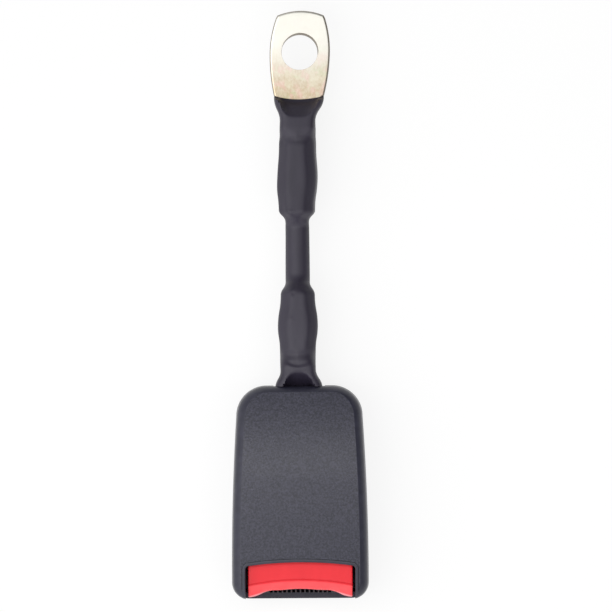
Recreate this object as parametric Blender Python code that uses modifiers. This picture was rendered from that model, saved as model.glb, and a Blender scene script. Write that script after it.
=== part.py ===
"""Seat belt buckle adapter: a buckle on a short wire-rope stalk that ends in an anchor plate.

It lies on its back. X is across the buckle, Y runs from the tongue slot to the anchor plate, Z is up.
Lengths are in metres. Inside this script Y is counted from the mouth of the housing and Z from the face
that it lies on; one empty then moves the whole part to the middle of its length.
"""

import math

import bmesh
import bpy
from mathutils import Matrix, Vector

# Clearances
GAP = 0.0003  # between pieces that touch
RUN = 0.0004  # round what turns or slides

# Housing, two moulded shells
HOUSING_LENGTH = 0.0738
MOUTH_CHEEK = 0.0047  # of the covers on each side of the button's notch
SIDE_TAPER = 0.0018  # how much each side draws in towards the stalk
TAPER_START = 0.008
MOUTH_CORNER = 0.006
STALK_CORNER = 0.0105
PARTING = 0.011  # height of the joint between the covers, and of the stalk's axis
CREST_ROOM = 0.0048  # from the frame's walls to the crest of the front cover
CREST_Y = 0.042
STALK_DROP = 0.0045  # fall of the top from its crest to the stalk end
MOUTH_DROP = 0.0015  # fall of the top from its crest to the mouth
CROWN = 0.0008
WALL = 0.002
TOP_ROUND = 0.0036
BASE_ROUND = 0.003
DRAFT = 0.0005
STALK_OPENING_RISE = 0.0038  # of the opening for the stalk, above and below the axis
LIP_HEIGHT = 0.007  # top of the back cover's wall below the tongue slot
RIB_WIDTH = 0.002
RIB_PLACES = (0.020, 0.050)
CLIP_PLACES = (0.019, 0.031)
CLIP_LENGTH = 0.006
CLIP_THICKNESS = 0.0013
CLIP_RISE = 0.003  # above the parting line
CLIP_FOOT = 0.004  # below the parting line

# Press button
BUTTON_OVERHANG = 0.0002  # of the cap beyond its arms
BUTTON_SIDE_GAP = 0.0009
NOTCH_DEPTH = 0.0131
NOTCH_ARC = 0.0012  # how much the notch's far edge falls at its ends
NOTCH_CORNER = 0.0012
BUTTON_FRONT_Y = 0.00355
BUTTON_FRONT_SWEEP = 0.0026
BUTTON_RIDGE_Y = 0.0064
BUTTON_RIDGE_SWEEP = 0.00185
BUTTON_RIDGE_RISE = 0.0011
BUTTON_RIDGE_RUN = 0.0022  # from the ridge back to the flat top
BUTTON_RIDGE_ROUND = 0.0004
BUTTON_REAR_Y = 0.019
BUTTON_WALL = 0.0022
BUTTON_FRONT_WALL = 0.0038
BUTTON_TRAVEL = 0.005
ARM_THICKNESS = 0.0015
ARM_FOOT = 0.0095
ARM_FRONT_Y = 0.0012
ARM_END_Y = 0.0447
PAD_HALF_HEIGHT = 0.002
PAD_LENGTH = 0.0025
PEG_RADIUS = 0.00075
PEG_LENGTH = 0.003

# Tongue slot and its guide
SLOT_HEIGHT = 0.0044
GUIDE_FRONT_Y = 0.0024
GUIDE_REAR_Y = 0.0124
GUIDE_ROOF = 0.0011
GUIDE_STEP = 0.0010  # set back below the back cover's lip
GUIDE_RIM = 0.0012
COMB_GAPS = 16
COMB_PITCH = 0.00155
COMB_GAP_WIDTH = 0.0007
COMB_DEPTH = 0.0012

# Steel frame
SHEET = 0.0025
FRAME_UNDERSIDE = 0.0048
FRAME_HALF_WIDTH = 0.016
FRAME_WALL_END_Y = 0.053
LOW_WALL_HEIGHT = 0.0037  # beside the slot, above the sheet
PIN_MARGIN = 0.0037  # from the latch pin's axis to the walls' upper edge
HIGH_WALL_START_Y = 0.0275
JOGGLE_START_Y = 0.058
JOGGLE_END_Y = 0.066
TAIL_HALF_WIDTH = 0.0068
LUG_HALF_WIDTH = 0.0052

# Latch
PIVOT_Y = 0.048
PIVOT_RISE = 0.0016  # of the pin's axis above the latch plate
PIN_RADIUS = 0.0015
KNUCKLE_RADIUS = 0.0033
KNUCKLE_WIDTH = 0.0043
LATCH_SIDE_GAP = 0.0022  # to the frame's walls
LATCH_FRONT_Y = 0.0255
LATCH_REAR_Y = 0.050
NOSE_HALF_WIDTH = 0.006
NOSE_LENGTH = 0.003
NOSE_TIP = 0.0066
EAR_Y = 0.0315
EAR_LENGTH = 0.0024
EAR_TAPER = 0.0001
LATCH_LIFT = math.radians(11.2)

# Bridge and its rivets
BRIDGE_START_Y = 0.034
BRIDGE_END_Y = 0.043
BRIDGE_SHEET = 0.0015
BRIDGE_PAD_HALF_WIDTH = 0.006
FLANGE_DEPTH = 0.0057
RIVET_RADIUS = 0.0014
RIVET_DEPTH = 0.0029  # of the rivets' axis below the bridge's top

# Ejector
EJECTOR_HALF_WIDTH = 0.008
EJECTOR_FRONT_Y = 0.031
EJECTOR_REAR_Y = 0.043
EJECTOR_THICKNESS = 0.0039
EJECTOR_TRAVEL = 0.009
KEY_HALF_WIDTH = 0.0025
KEY_LENGTH = 0.008
KEY_SETBACK = 0.0016
TAB_HALF_WIDTH = 0.0035
TAB_THICKNESS = 0.002

# Coil springs: radius of the coil's centre line, radius of the wire, turns
BUTTON_SPRING = (0.0013, 0.00025, 8)
EJECTOR_SPRING = (0.00165, 0.00022, 9)
LATCH_SPRING = (0.0022, 0.0002, 3)
POST_Y = 0.058
POST_THICKNESS = 0.0025

# Wire rope, ferrules and sleeve
ROPE_RADIUS = 0.0024
LUG_REACH = 0.0042  # from the housing's end to the middle of the frame's eye
FREE_ROPE = 0.0285  # between the ferrules
EYE_RADIUS = 0.0028
ROPE_SPREAD = 0.0025  # of each strand from the axis inside a ferrule
LOWER_FERRULE_GAP = 0.0082  # from the frame's eye to its ferrule
LOWER_FERRULE_LENGTH = 0.0188
UPPER_FERRULE_LENGTH = 0.0235
UPPER_FERRULE_GAP = 0.0100  # from the upper ferrule to the plate's eye
FERRULE_WALL = 0.0017
FERRULE_CHAMFER = 0.45  # of its half-width
FERRULE_BORE_RADIUS = ROPE_RADIUS + 0.00035
FERRULE_END_HALF_WIDTH = 0.0047
SLEEVE_WALL = 0.0009
SLEEVE_TUCK = 0.0013  # of its lower end inside the housing
SLEEVE_OVER_PLATE = 0.0064  # from the plate's eye to its upper end
SLEEVE_MID_RADIUS = 0.0042
SLEEVE_WAIST = 0.00625  # half-width over the lugs
SLEEVE_LOWER_SWELL = 0.0069
SLEEVE_UPPER_SWELL = 0.0070
SLEEVE_HOUSING_HALF_WIDTH = 0.0081
SLEEVE_PLATE_HALF_WIDTH = 0.0086
SLEEVE_NECK = 0.005  # length over which it draws in beside a ferrule
SLEEVE_FLARE = 0.006  # length over which it widens towards the housing
SLEEVE_PLATE_FLARE = 0.0085  # and towards the plate
LOWER_SWELL_START = 0.0080  # from the lower ferrule's start to its widest ring
UPPER_SWELL_START = 0.0105
SLEEVE_RINGS = 46

# Anchor plate
PLATE_THICKNESS = 0.003
PLATE_REACH = 0.0360  # from its eye to its tip
PLATE_HALF_WIDTH = 0.0104
PLATE_WIDEST_DEPTH = 0.0143  # below the tip
PLATE_UPPER_ARC = 0.036
PLATE_TOP_ARC = 0.020
PLATE_TOP_HALF_WIDTH = 0.0079
PLATE_SHOULDER_GAP = 0.0011  # from the sleeve's end to where the plate widens
PLATE_SHOULDER_HALF_WIDTH = 0.0087197
PLATE_EDGE = 0.0004
PLATE_CORNER = 0.001
BOLT_HOLE_RADIUS = 0.00625
BOLT_HOLE_DEPTH = 0.014  # from the tip to the hole's middle

# Places that follow from the sizes above
FRAME_TOP = FRAME_UNDERSIDE + SHEET
SLOT_FLOOR = FRAME_TOP + GAP
SLOT_ROOF = SLOT_FLOOR + SLOT_HEIGHT
GUIDE_TOP = SLOT_ROOF + GUIDE_ROOF + GAP / 3
CAP_UNDERSIDE = GUIDE_TOP + RUN
FRAME_FRONT_Y = GUIDE_REAR_Y + GAP
LATCH_BOTTOM = SLOT_ROOF + RUN
LATCH_TOP = LATCH_BOTTOM + SHEET
LOW_WALL_TOP = FRAME_TOP + LOW_WALL_HEIGHT
PIVOT_Z = LATCH_TOP + PIVOT_RISE
HIGH_WALL_TOP = PIVOT_Z + PIN_MARGIN
BRIDGE_TOP = HIGH_WALL_TOP - GAP
FLANGE_BOTTOM = BRIDGE_TOP - FLANGE_DEPTH
RIVET_Z = BRIDGE_TOP - RIVET_DEPTH
CREST_HEIGHT = HIGH_WALL_TOP + CREST_ROOM
ARM_INSIDE = FRAME_HALF_WIDTH + GAP
ARM_OUTSIDE = ARM_INSIDE + ARM_THICKNESS
BUTTON_HALF_WIDTH = ARM_OUTSIDE + BUTTON_OVERHANG
NOTCH_HALF_WIDTH = BUTTON_HALF_WIDTH + BUTTON_SIDE_GAP
MOUTH_HALF_WIDTH = NOTCH_HALF_WIDTH + MOUTH_CHEEK
GUIDE_HALF_WIDTH = ARM_INSIDE - 2 * GAP / 3
TUNNEL_HALF_WIDTH = FRAME_HALF_WIDTH - SHEET - GAP / 3  # level with the frame's walls
LATCH_HALF_WIDTH = FRAME_HALF_WIDTH - SHEET - LATCH_SIDE_GAP
EAR_REACH = ARM_OUTSIDE - GAP / 3
SPRING_X = ARM_INSIDE + BUTTON_SPRING[0] + BUTTON_SPRING[1]
EJECTOR_TOP = SLOT_FLOOR + EJECTOR_THICKNESS
EJECTOR_MIDDLE = (SLOT_FLOOR + EJECTOR_TOP) / 2
STALK_HALF_OPENING = SLEEVE_HOUSING_HALF_WIDTH + 2 * RUN
SLEEVE_FERRULE_END = FERRULE_END_HALF_WIDTH + GAP + SLEEVE_WALL
LOWER_EYE_Y = HOUSING_LENGTH + LUG_REACH
LOWER_FERRULE_Y = LOWER_EYE_Y + LOWER_FERRULE_GAP
LOWER_FERRULE = (LOWER_FERRULE_Y, LOWER_FERRULE_Y + LOWER_FERRULE_LENGTH)
LOWER_SWELL_Y = LOWER_FERRULE[0] + LOWER_SWELL_START
UPPER_FERRULE_Y = LOWER_FERRULE[1] + FREE_ROPE
UPPER_FERRULE = (UPPER_FERRULE_Y, UPPER_FERRULE_Y + UPPER_FERRULE_LENGTH)
UPPER_SWELL_Y = UPPER_FERRULE[0] + UPPER_SWELL_START
UPPER_EYE_Y = UPPER_FERRULE[1] + UPPER_FERRULE_GAP
SLEEVE_START_Y = HOUSING_LENGTH - SLEEVE_TUCK
SLEEVE_END_Y = UPPER_EYE_Y + SLEEVE_OVER_PLATE
PLATE_TIP_Y = UPPER_EYE_Y + PLATE_REACH
PLATE_WIDEST_Y = PLATE_TIP_Y - PLATE_WIDEST_DEPTH
PLATE_SHOULDER_Y = SLEEVE_END_Y + PLATE_SHOULDER_GAP
BOLT_HOLE_Y = PLATE_TIP_Y - BOLT_HOLE_DEPTH
ROUND = 24  # sides of a round hole or pin
CORNER_RUN = max(0, NOTCH_HALF_WIDTH - (MOUTH_HALF_WIDTH - MOUTH_CORNER))
MOUTH_Y = MOUTH_CORNER - math.sqrt(MOUTH_CORNER**2 - CORNER_RUN**2)  # foremost point beside the notch


def material(name, colour, roughness, metallic=0.0):
    made = bpy.data.materials.new(name)
    made.use_nodes = True
    shader = made.node_tree.nodes["Principled BSDF"]
    shader.inputs["Base Color"].default_value = (*colour, 1.0)
    shader.inputs["Roughness"].default_value = roughness
    shader.inputs["Metallic"].default_value = metallic
    return made


def clear_scene():
    for thing in list(bpy.data.objects):
        bpy.data.objects.remove(thing, do_unlink=True)


clear_scene()
PARTS = bpy.data.collections.new("seat_belt_buckle_adapter")
CUTTERS = bpy.data.collections.new("cutters")
for group in (PARTS, CUTTERS):
    bpy.context.scene.collection.children.link(group)
ORIGIN = bpy.data.objects.new("buckle_origin", None)
ORIGIN.location = (0, -(MOUTH_Y + PLATE_TIP_Y) / 2, 0)
PARTS.objects.link(ORIGIN)


def helper(name, mesh):
    """An object that cuts or joins others, or becomes a part."""
    made = bpy.data.objects.new(name, mesh)
    made.parent = ORIGIN
    made.hide_render = True
    made.display_type = "WIRE"
    CUTTERS.objects.link(made)
    return made


def part(thing, name, finish, origin=(0, 0, 0)):
    """Makes a helper a sub-part with this name and material, with its origin at the given point."""
    CUTTERS.objects.unlink(thing)
    PARTS.objects.link(thing)
    thing.name = name
    thing.hide_render = False
    thing.display_type = "TEXTURED"
    thing.data.materials.clear()
    thing.data.materials.append(finish)
    thing.data.transform(Matrix.Translation(-Vector(origin)))
    thing.location = origin
    if thing.type == "MESH":
        thing.data.shade_smooth()
        thing.data.set_sharp_from_angle(angle=math.radians(35))
    return thing


def mesh_of(name, shape):
    mesh = bpy.data.meshes.new(name)
    shape.to_mesh(mesh)
    shape.free()
    return mesh


def box(name, low, high):
    shape = bmesh.new()
    bmesh.ops.create_cube(shape, size=1)
    low, high = Vector(low), Vector(high)
    bmesh.ops.scale(shape, vec=high - low, verts=shape.verts)
    bmesh.ops.translate(shape, vec=(low + high) / 2, verts=shape.verts)
    return helper(name, mesh_of(name, shape))


TURNED_TO = {
    "X": Matrix(((0, 0, 1, 0), (1, 0, 0, 0), (0, 1, 0, 0), (0, 0, 0, 1))),
    "Y": Matrix(((1, 0, 0, 0), (0, 0, -1, 0), (0, 1, 0, 0), (0, 0, 0, 1))),
    "Z": Matrix.Identity(4),
}


def cylinder(name, axis, centre, radius, length, sides=ROUND):
    shape = bmesh.new()
    bmesh.ops.create_cone(
        shape, cap_ends=True, segments=sides, radius1=radius, radius2=radius, depth=length
    )
    bmesh.ops.transform(shape, matrix=Matrix.Translation(centre) @ TURNED_TO[axis], verts=shape.verts)
    return helper(name, mesh_of(name, shape))


def slab(name, axis, low, high, outline, holes=()):
    """A flat outline with holes, extruded along the axis from low to high.

    The outline is in (y, z) for X, in (x, z) for Y and in (x, y) for Z.
    """
    curve = bpy.data.curves.new(name, "CURVE")
    curve.dimensions = "2D"
    curve.fill_mode = "BOTH"
    curve.extrude = (high - low) / 2
    for points in (outline, *holes):
        line = curve.splines.new("POLY")
        line.points.add(len(points) - 1)
        for point, (u, v) in zip(line.points, points):
            point.co = (u, v, 0, 1)
        line.use_cyclic_u = True
    drawn = helper(name + "_outline", curve)
    bpy.context.view_layer.update()
    mesh = bpy.data.meshes.new_from_object(drawn.evaluated_get(bpy.context.evaluated_depsgraph_get()))
    bpy.data.objects.remove(drawn)
    shape = bmesh.new()
    shape.from_mesh(mesh)
    bmesh.ops.remove_doubles(shape, verts=shape.verts, dist=1e-7)
    middle = (low + high) / 2
    offset = {"X": (middle, 0, 0), "Y": (0, middle, 0), "Z": (0, 0, middle)}[axis]
    bmesh.ops.transform(shape, matrix=Matrix.Translation(offset) @ TURNED_TO[axis], verts=shape.verts)
    shape.to_mesh(mesh)
    shape.free()
    return helper(name, mesh)


def loft(name, rings):
    """A closed solid through rings of equally many points, with flat ends."""
    shape = bmesh.new()
    rows = [[shape.verts.new(point) for point in ring] for ring in rings]
    for near, far in zip(rows, rows[1:]):
        for i in range(len(near)):
            j = (i + 1) % len(near)
            shape.faces.new((near[i], near[j], far[j], far[i]))
    shape.faces.new(rows[0])
    shape.faces.new(rows[-1])
    bmesh.ops.recalc_face_normals(shape, faces=shape.faces)
    return helper(name, mesh_of(name, shape))


def combine(thing, other, operation):
    modifier = thing.modifiers.new(other.name, "BOOLEAN")
    modifier.operation = operation
    modifier.object = other
    modifier.solver = "EXACT"


def join(thing, *others):
    for other in others:
        combine(thing, other, "UNION")


def cut(thing, *others):
    for other in others:
        combine(thing, other, "DIFFERENCE")


def circle(centre, radius, sides=ROUND):
    return [
        (
            centre[0] + radius * math.cos(2 * math.pi * i / sides),
            centre[1] + radius * math.sin(2 * math.pi * i / sides),
        )
        for i in range(sides)
    ]


def arc(centre, radius, start, end, steps):
    """Points on an arc, angles in degrees."""
    angles = [math.radians(start + (end - start) * i / steps) for i in range(steps + 1)]
    return [(centre[0] + radius * math.cos(a), centre[1] + radius * math.sin(a)) for a in angles]


def stadium(start, end, radius, steps=8):
    """A round-ended slot between two points."""
    heading = math.degrees(math.atan2(end[1] - start[1], end[0] - start[0]))
    return arc(end, radius, heading - 90, heading + 90, steps) + arc(
        start, radius, heading + 90, heading + 270, steps
    )


def mirrored(right):
    """Closes an outline from its right half, which runs from its lowest to its highest point."""
    left = [(-x, y) for x, y in reversed(right) if x > 0]
    return right + left


def tube(name, points, radius, resolution):
    """A round wire or rope through the points."""
    curve = bpy.data.curves.new(name, "CURVE")
    curve.dimensions = "3D"
    curve.bevel_depth = radius
    curve.bevel_resolution = resolution
    curve.use_fill_caps = True
    line = curve.splines.new("POLY")
    line.points.add(len(points) - 1)
    for point, place in zip(line.points, points):
        point.co = (*place, 1)
    return helper(name, curve)


def coil(name, axis, start, end, spring, points_a_turn=9):
    """A coil spring whose outermost points lie at start and end along the axis."""
    radius, wire, turns = spring
    start, end = Vector(start), Vector(end)
    along = (end - start).normalized()
    start, end = start + along * wire, end - along * wire
    steps = turns * points_a_turn
    turn = TURNED_TO[axis].to_3x3()
    points = []
    for i in range(steps + 1):
        angle = 2 * math.pi * i / points_a_turn
        across = Vector((radius * math.cos(angle), radius * math.sin(angle), 0))
        points.append(start.lerp(end, i / steps) + turn @ across)
    return tube(name, points, wire, 1)


# Housing covers


def side_half_width(y):
    end = HOUSING_LENGTH - STALK_CORNER
    return MOUTH_HALF_WIDTH - SIDE_TAPER * (max(0, y - TAPER_START) / (end - TAPER_START)) ** 2


def housing_outline(inset):
    """The covers' plan outline, moved inwards, with the same number of points at every inset."""
    mouth_centre = (MOUTH_HALF_WIDTH - MOUTH_CORNER, MOUTH_CORNER)
    stalk_y = HOUSING_LENGTH - STALK_CORNER
    stalk_centre = (side_half_width(stalk_y) - STALK_CORNER, stalk_y)
    right = [(mouth_centre[0] * i / 4, inset) for i in range(4)]
    right += arc(mouth_centre, MOUTH_CORNER - inset, -90, 0, 6)
    for i in range(1, 8):
        y = MOUTH_CORNER + (stalk_y - MOUTH_CORNER) * i / 8
        right.append((side_half_width(y) - inset, y))
    right += arc(stalk_centre, STALK_CORNER - inset, 0, 90, 7)
    right += [(stalk_centre[0] * (1 - i / 3), HOUSING_LENGTH - inset) for i in range(1, 4)]
    return mirrored(right)


def cover_top(x, y):
    """Height of the front cover's outer face."""
    run = y - CREST_Y
    if run > 0:
        drop = STALK_DROP * (run / (HOUSING_LENGTH - CREST_Y)) ** 2
    else:
        drop = MOUTH_DROP * -run / CREST_Y
    return CREST_HEIGHT - drop - CROWN * (x / MOUTH_HALF_WIDTH) ** 2


def rounding(radius, steps=4):
    """How far each step of a rounded edge lies inwards, and how far below the face."""
    for i in range(steps + 1):
        angle = math.pi / 2 * i / steps
        yield radius * (1 - math.cos(angle)), radius * (1 - math.sin(angle))


def shell(name, rings, flat_end, upward):
    """An open skin through the rings, thickened inwards by the wall."""
    shape = bmesh.new()
    rows = [[shape.verts.new(point) for point in ring] for ring in rings]
    for near, far in zip(rows, rows[1:]):
        for i in range(len(near)):
            j = (i + 1) % len(near)
            shape.faces.new((near[i], near[j], far[j], far[i]))
    if flat_end:
        shape.faces.new(rows[-1])
    else:
        bmesh.ops.remove_doubles(shape, verts=rows[-1], dist=1e-7)
    if not upward:
        bmesh.ops.reverse_faces(shape, faces=shape.faces)
    made = helper(name, mesh_of(name, shape))
    wall = made.modifiers.new("wall", "SOLIDIFY")
    wall.thickness = WALL
    wall.offset = -1
    wall.use_even_offset = True
    return made


def stalk_opening():
    return box(
        "stalk_opening",
        (-STALK_HALF_OPENING, HOUSING_LENGTH - 2 * WALL, PARTING - STALK_OPENING_RISE),
        (STALK_HALF_OPENING, HOUSING_LENGTH + WALL, PARTING + STALK_OPENING_RISE),
    )


def notch_outline():
    half = NOTCH_HALF_WIDTH
    right = [(half, -WALL), (half, NOTCH_DEPTH - NOTCH_ARC - NOTCH_CORNER)]
    right += arc(
        (half - NOTCH_CORNER, NOTCH_DEPTH - NOTCH_ARC - NOTCH_CORNER), NOTCH_CORNER, 20, 80, 3
    )
    inner = half - NOTCH_CORNER
    for i in range(6, -1, -1):
        x = inner * i / 6
        right.append((x, NOTCH_DEPTH - NOTCH_ARC * (x / inner) ** 2))
    return mirrored(right)


def make_front_cover(finish):
    rings = [[(x, y, PARTING + GAP / 2) for x, y in housing_outline(0)]]
    for inward, below in rounding(TOP_ROUND):
        ring = housing_outline(DRAFT + inward)
        rings.append([(x, y, cover_top(x, y) - below) for x, y in ring])
    spine_start, spine_end = MOUTH_HALF_WIDTH, HOUSING_LENGTH - MOUTH_HALF_WIDTH
    for share in (0.3, 0.65, 1.0):
        rings.append([])
        for x, y in ring:
            along = y + (min(max(y, spine_start), spine_end) - y) * share
            across = x * (1 - share)
            rings[-1].append((across, along, cover_top(across, along)))
    cover = shell("front_cover", rings, False, True)
    notch = slab("button_notch", "Z", 0, 2 * CREST_HEIGHT, notch_outline())
    cut(cover, stalk_opening(), notch)
    pad = box(
        "bridge_pad",
        (-BRIDGE_PAD_HALF_WIDTH, BRIDGE_START_Y + BRIDGE_SHEET, BRIDGE_TOP + GAP),
        (BRIDGE_PAD_HALF_WIDTH, BRIDGE_END_Y - BRIDGE_SHEET, cover_top(0, BRIDGE_START_Y) - WALL / 2),
    )
    join(cover, pad)
    return part(cover, "front_cover", finish)


def make_back_cover(finish):
    rings = [[(x, y, PARTING - GAP / 2) for x, y in housing_outline(0)]]
    for inward, above in rounding(BASE_ROUND):
        rings.append([(x, y, above) for x, y in housing_outline(DRAFT + inward)])
    cover = shell("back_cover", rings, True, False)
    half = NOTCH_HALF_WIDTH
    mouth = box("mouth_opening", (-half, -WALL, LIP_HEIGHT), (half, 2 * WALL, 2 * PARTING))
    cut(cover, stalk_opening(), mouth)
    for number, y in enumerate(RIB_PLACES):
        join(
            cover,
            box(
                f"frame_rib_{number}",
                (-FRAME_HALF_WIDTH + SHEET, y - RIB_WIDTH / 2, WALL / 2),
                (FRAME_HALF_WIDTH - SHEET, y + RIB_WIDTH / 2, FRAME_UNDERSIDE - GAP),
            ),
        )
    for side in (-1, 1):
        near = FRAME_HALF_WIDTH + GAP
        far = near + 2 * (BUTTON_SPRING[0] + BUTTON_SPRING[1]) - RUN
        join(
            cover,
            box(
                f"spring_post_{side}",
                (min(side * near, side * far), POST_Y, WALL / 2),
                (max(side * near, side * far), POST_Y + POST_THICKNESS, PIVOT_Z),
            ),
        )
        for y in CLIP_PLACES:
            face = side_half_width(y + CLIP_LENGTH / 2) - DRAFT - WALL
            inside = face - GAP - CLIP_THICKNESS
            outside = face - GAP
            foot = box(
                f"clip_foot_{side}_{y}",
                (min(side * inside, side * (face + WALL / 2)), y - CLIP_LENGTH / 2, PARTING - CLIP_FOOT),
                (max(side * inside, side * (face + WALL / 2)), y + CLIP_LENGTH / 2, PARTING - 2 * GAP),
            )
            tongue = box(
                f"clip_{side}_{y}",
                (min(side * inside, side * outside), y - CLIP_LENGTH / 3, PARTING - CLIP_RISE),
                (max(side * inside, side * outside), y + CLIP_LENGTH / 3, PARTING + CLIP_RISE),
            )
            join(cover, foot, tongue)
    return part(cover, "back_cover", finish)


# Press button


def button_section(x, top):
    """The cap's outline in Y and Z at this distance from the middle."""
    share = abs(x) / BUTTON_HALF_WIDTH
    front = BUTTON_FRONT_Y - BUTTON_FRONT_SWEEP * (share**2 + share**8) / 2
    ridge = BUTTON_RIDGE_Y - BUTTON_RIDGE_SWEEP * share**2
    peak = top + BUTTON_RIDGE_RISE
    return [
        (x, front, CAP_UNDERSIDE),
        (x, ridge - BUTTON_RIDGE_ROUND, peak - BUTTON_RIDGE_ROUND),
        (x, ridge, peak),
        (x, ridge + BUTTON_RIDGE_ROUND, peak - BUTTON_RIDGE_ROUND / 4),
        (x, ridge + BUTTON_RIDGE_RUN / 2, top + BUTTON_RIDGE_RISE / 3),
        (x, ridge + BUTTON_RIDGE_RUN, top),
        (x, BUTTON_REAR_Y, top),
        (x, BUTTON_REAR_Y, CAP_UNDERSIDE),
    ]


def lifted(y, z):
    """Where a point of the latch lies when the latch is up."""
    dy, dz = y - PIVOT_Y, z - PIVOT_Z
    c, s = math.cos(LATCH_LIFT), math.sin(LATCH_LIFT)
    return PIVOT_Y + dy * c + dz * s, PIVOT_Z - dy * s + dz * c


def make_press_button(finish):
    edge = BUTTON_HALF_WIDTH
    top = cover_top(edge, NOTCH_DEPTH - NOTCH_ARC) - WALL - GAP
    steps = 14
    sections = [button_section(edge * (2 * i / steps - 1), top) for i in range(steps + 1)]
    button = loft("press_button", sections)
    hollow = box(
        "button_hollow",
        (-edge + BUTTON_WALL, BUTTON_FRONT_Y + BUTTON_FRONT_WALL, CAP_UNDERSIDE - WALL),
        (edge - BUTTON_WALL, BUTTON_REAR_Y + WALL, top - BUTTON_WALL),
    )
    cut(button, hollow)
    ear = (EAR_Y, (LATCH_BOTTOM + LATCH_TOP) / 2)
    raised = lifted(*ear)
    slot_radius = math.hypot(EAR_LENGTH, SHEET) / 2 + RUN
    slot = stadium(ear, (raised[0] - BUTTON_TRAVEL, raised[1]), slot_radius)
    arm_top = top - GAP
    share = (arm_top - CAP_UNDERSIDE) / (top - CAP_UNDERSIDE)
    arm_outline = [
        (ARM_FRONT_Y, ARM_FOOT),
        (ARM_END_Y, ARM_FOOT),
        (ARM_END_Y, arm_top),
        (ARM_FRONT_Y + share * (BUTTON_RIDGE_Y - BUTTON_RIDGE_SWEEP - ARM_FRONT_Y) + GAP, arm_top),
        (ARM_FRONT_Y, CAP_UNDERSIDE),
    ]
    pad_x = SPRING_X + BUTTON_SPRING[0]
    for side, name in ((-1, "left"), (1, "right")):
        low, high = sorted((side * ARM_INSIDE, side * ARM_OUTSIDE))
        arm = slab(f"arm_{name}", "X", low, high, arm_outline, [slot])
        low, high = sorted((side * ARM_INSIDE, side * pad_x))
        pad = box(
            f"pad_{name}",
            (low, ARM_END_Y - PAD_LENGTH, EJECTOR_TOP + PAD_HALF_HEIGHT),
            (high, ARM_END_Y - GAP / 3, EJECTOR_TOP + 3 * PAD_HALF_HEIGHT),
        )
        peg = cylinder(
            f"peg_{name}",
            "Y",
            (side * SPRING_X, ARM_END_Y + PEG_LENGTH / 2 - 2 * GAP, EJECTOR_TOP + 2 * PAD_HALF_HEIGHT),
            PEG_RADIUS,
            PEG_LENGTH,
            10,
        )
        join(button, arm, pad, peg)
    return part(button, "press_button", finish)


# Tongue guide


def make_tongue_guide(finish):
    guide = box(
        "tongue_guide",
        (-GUIDE_HALF_WIDTH, GUIDE_FRONT_Y, WALL + GAP),
        (GUIDE_HALF_WIDTH, GUIDE_REAR_Y, GUIDE_TOP),
    )
    beyond = WALL
    tunnel = box(
        "tunnel",
        (-TUNNEL_HALF_WIDTH, GUIDE_FRONT_Y - beyond, SLOT_FLOOR - GAP / 3),
        (TUNNEL_HALF_WIDTH, GUIDE_REAR_Y + beyond, SLOT_ROOF + GAP / 3),
    )
    recess = box(
        "guide_recess",
        (-MOUTH_HALF_WIDTH, GUIDE_FRONT_Y - beyond, 0),
        (MOUTH_HALF_WIDTH, GUIDE_FRONT_Y + GUIDE_STEP, LIP_HEIGHT),
    )
    cut(guide, tunnel, recess)
    rim = GUIDE_RIM
    for side in (-1, 1):
        low, high = sorted((side * rim / 2, side * (GUIDE_HALF_WIDTH - rim)))
        pocket = box(
            f"guide_pocket_{side}",
            (low, GUIDE_FRONT_Y + GUIDE_STEP + rim, 0),
            (high, GUIDE_REAR_Y - rim, SLOT_FLOOR - rim),
        )
        cut(guide, pocket)
    for number in range(COMB_GAPS):
        x = COMB_PITCH * (number - (COMB_GAPS - 1) / 2)
        gap = box(
            f"comb_gap_{number}",
            (x - COMB_GAP_WIDTH / 2, GUIDE_FRONT_Y - beyond, SLOT_ROOF - GAP),
            (x + COMB_GAP_WIDTH / 2, GUIDE_FRONT_Y + COMB_DEPTH, GUIDE_TOP + beyond),
        )
        cut(guide, gap)
    return part(guide, "tongue_guide", finish)


# Steel frame, bridge and latch


def frame_plan():
    """The frame's flat outline from its front edge to the rope lug."""
    neck_start = HOUSING_LENGTH - WALL
    neck_end = HOUSING_LENGTH + WALL
    right = [
        (FRAME_HALF_WIDTH, FRAME_FRONT_Y),
        (FRAME_HALF_WIDTH, FRAME_WALL_END_Y),
        (TAIL_HALF_WIDTH, JOGGLE_START_Y),
        (TAIL_HALF_WIDTH, neck_start),
        (LUG_HALF_WIDTH, neck_end),
    ]
    right += arc((0, LOWER_EYE_Y), LUG_HALF_WIDTH, 0, 90, 8)
    return mirrored([(x if x > 1e-9 else 0, y) for x, y in right])


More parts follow.
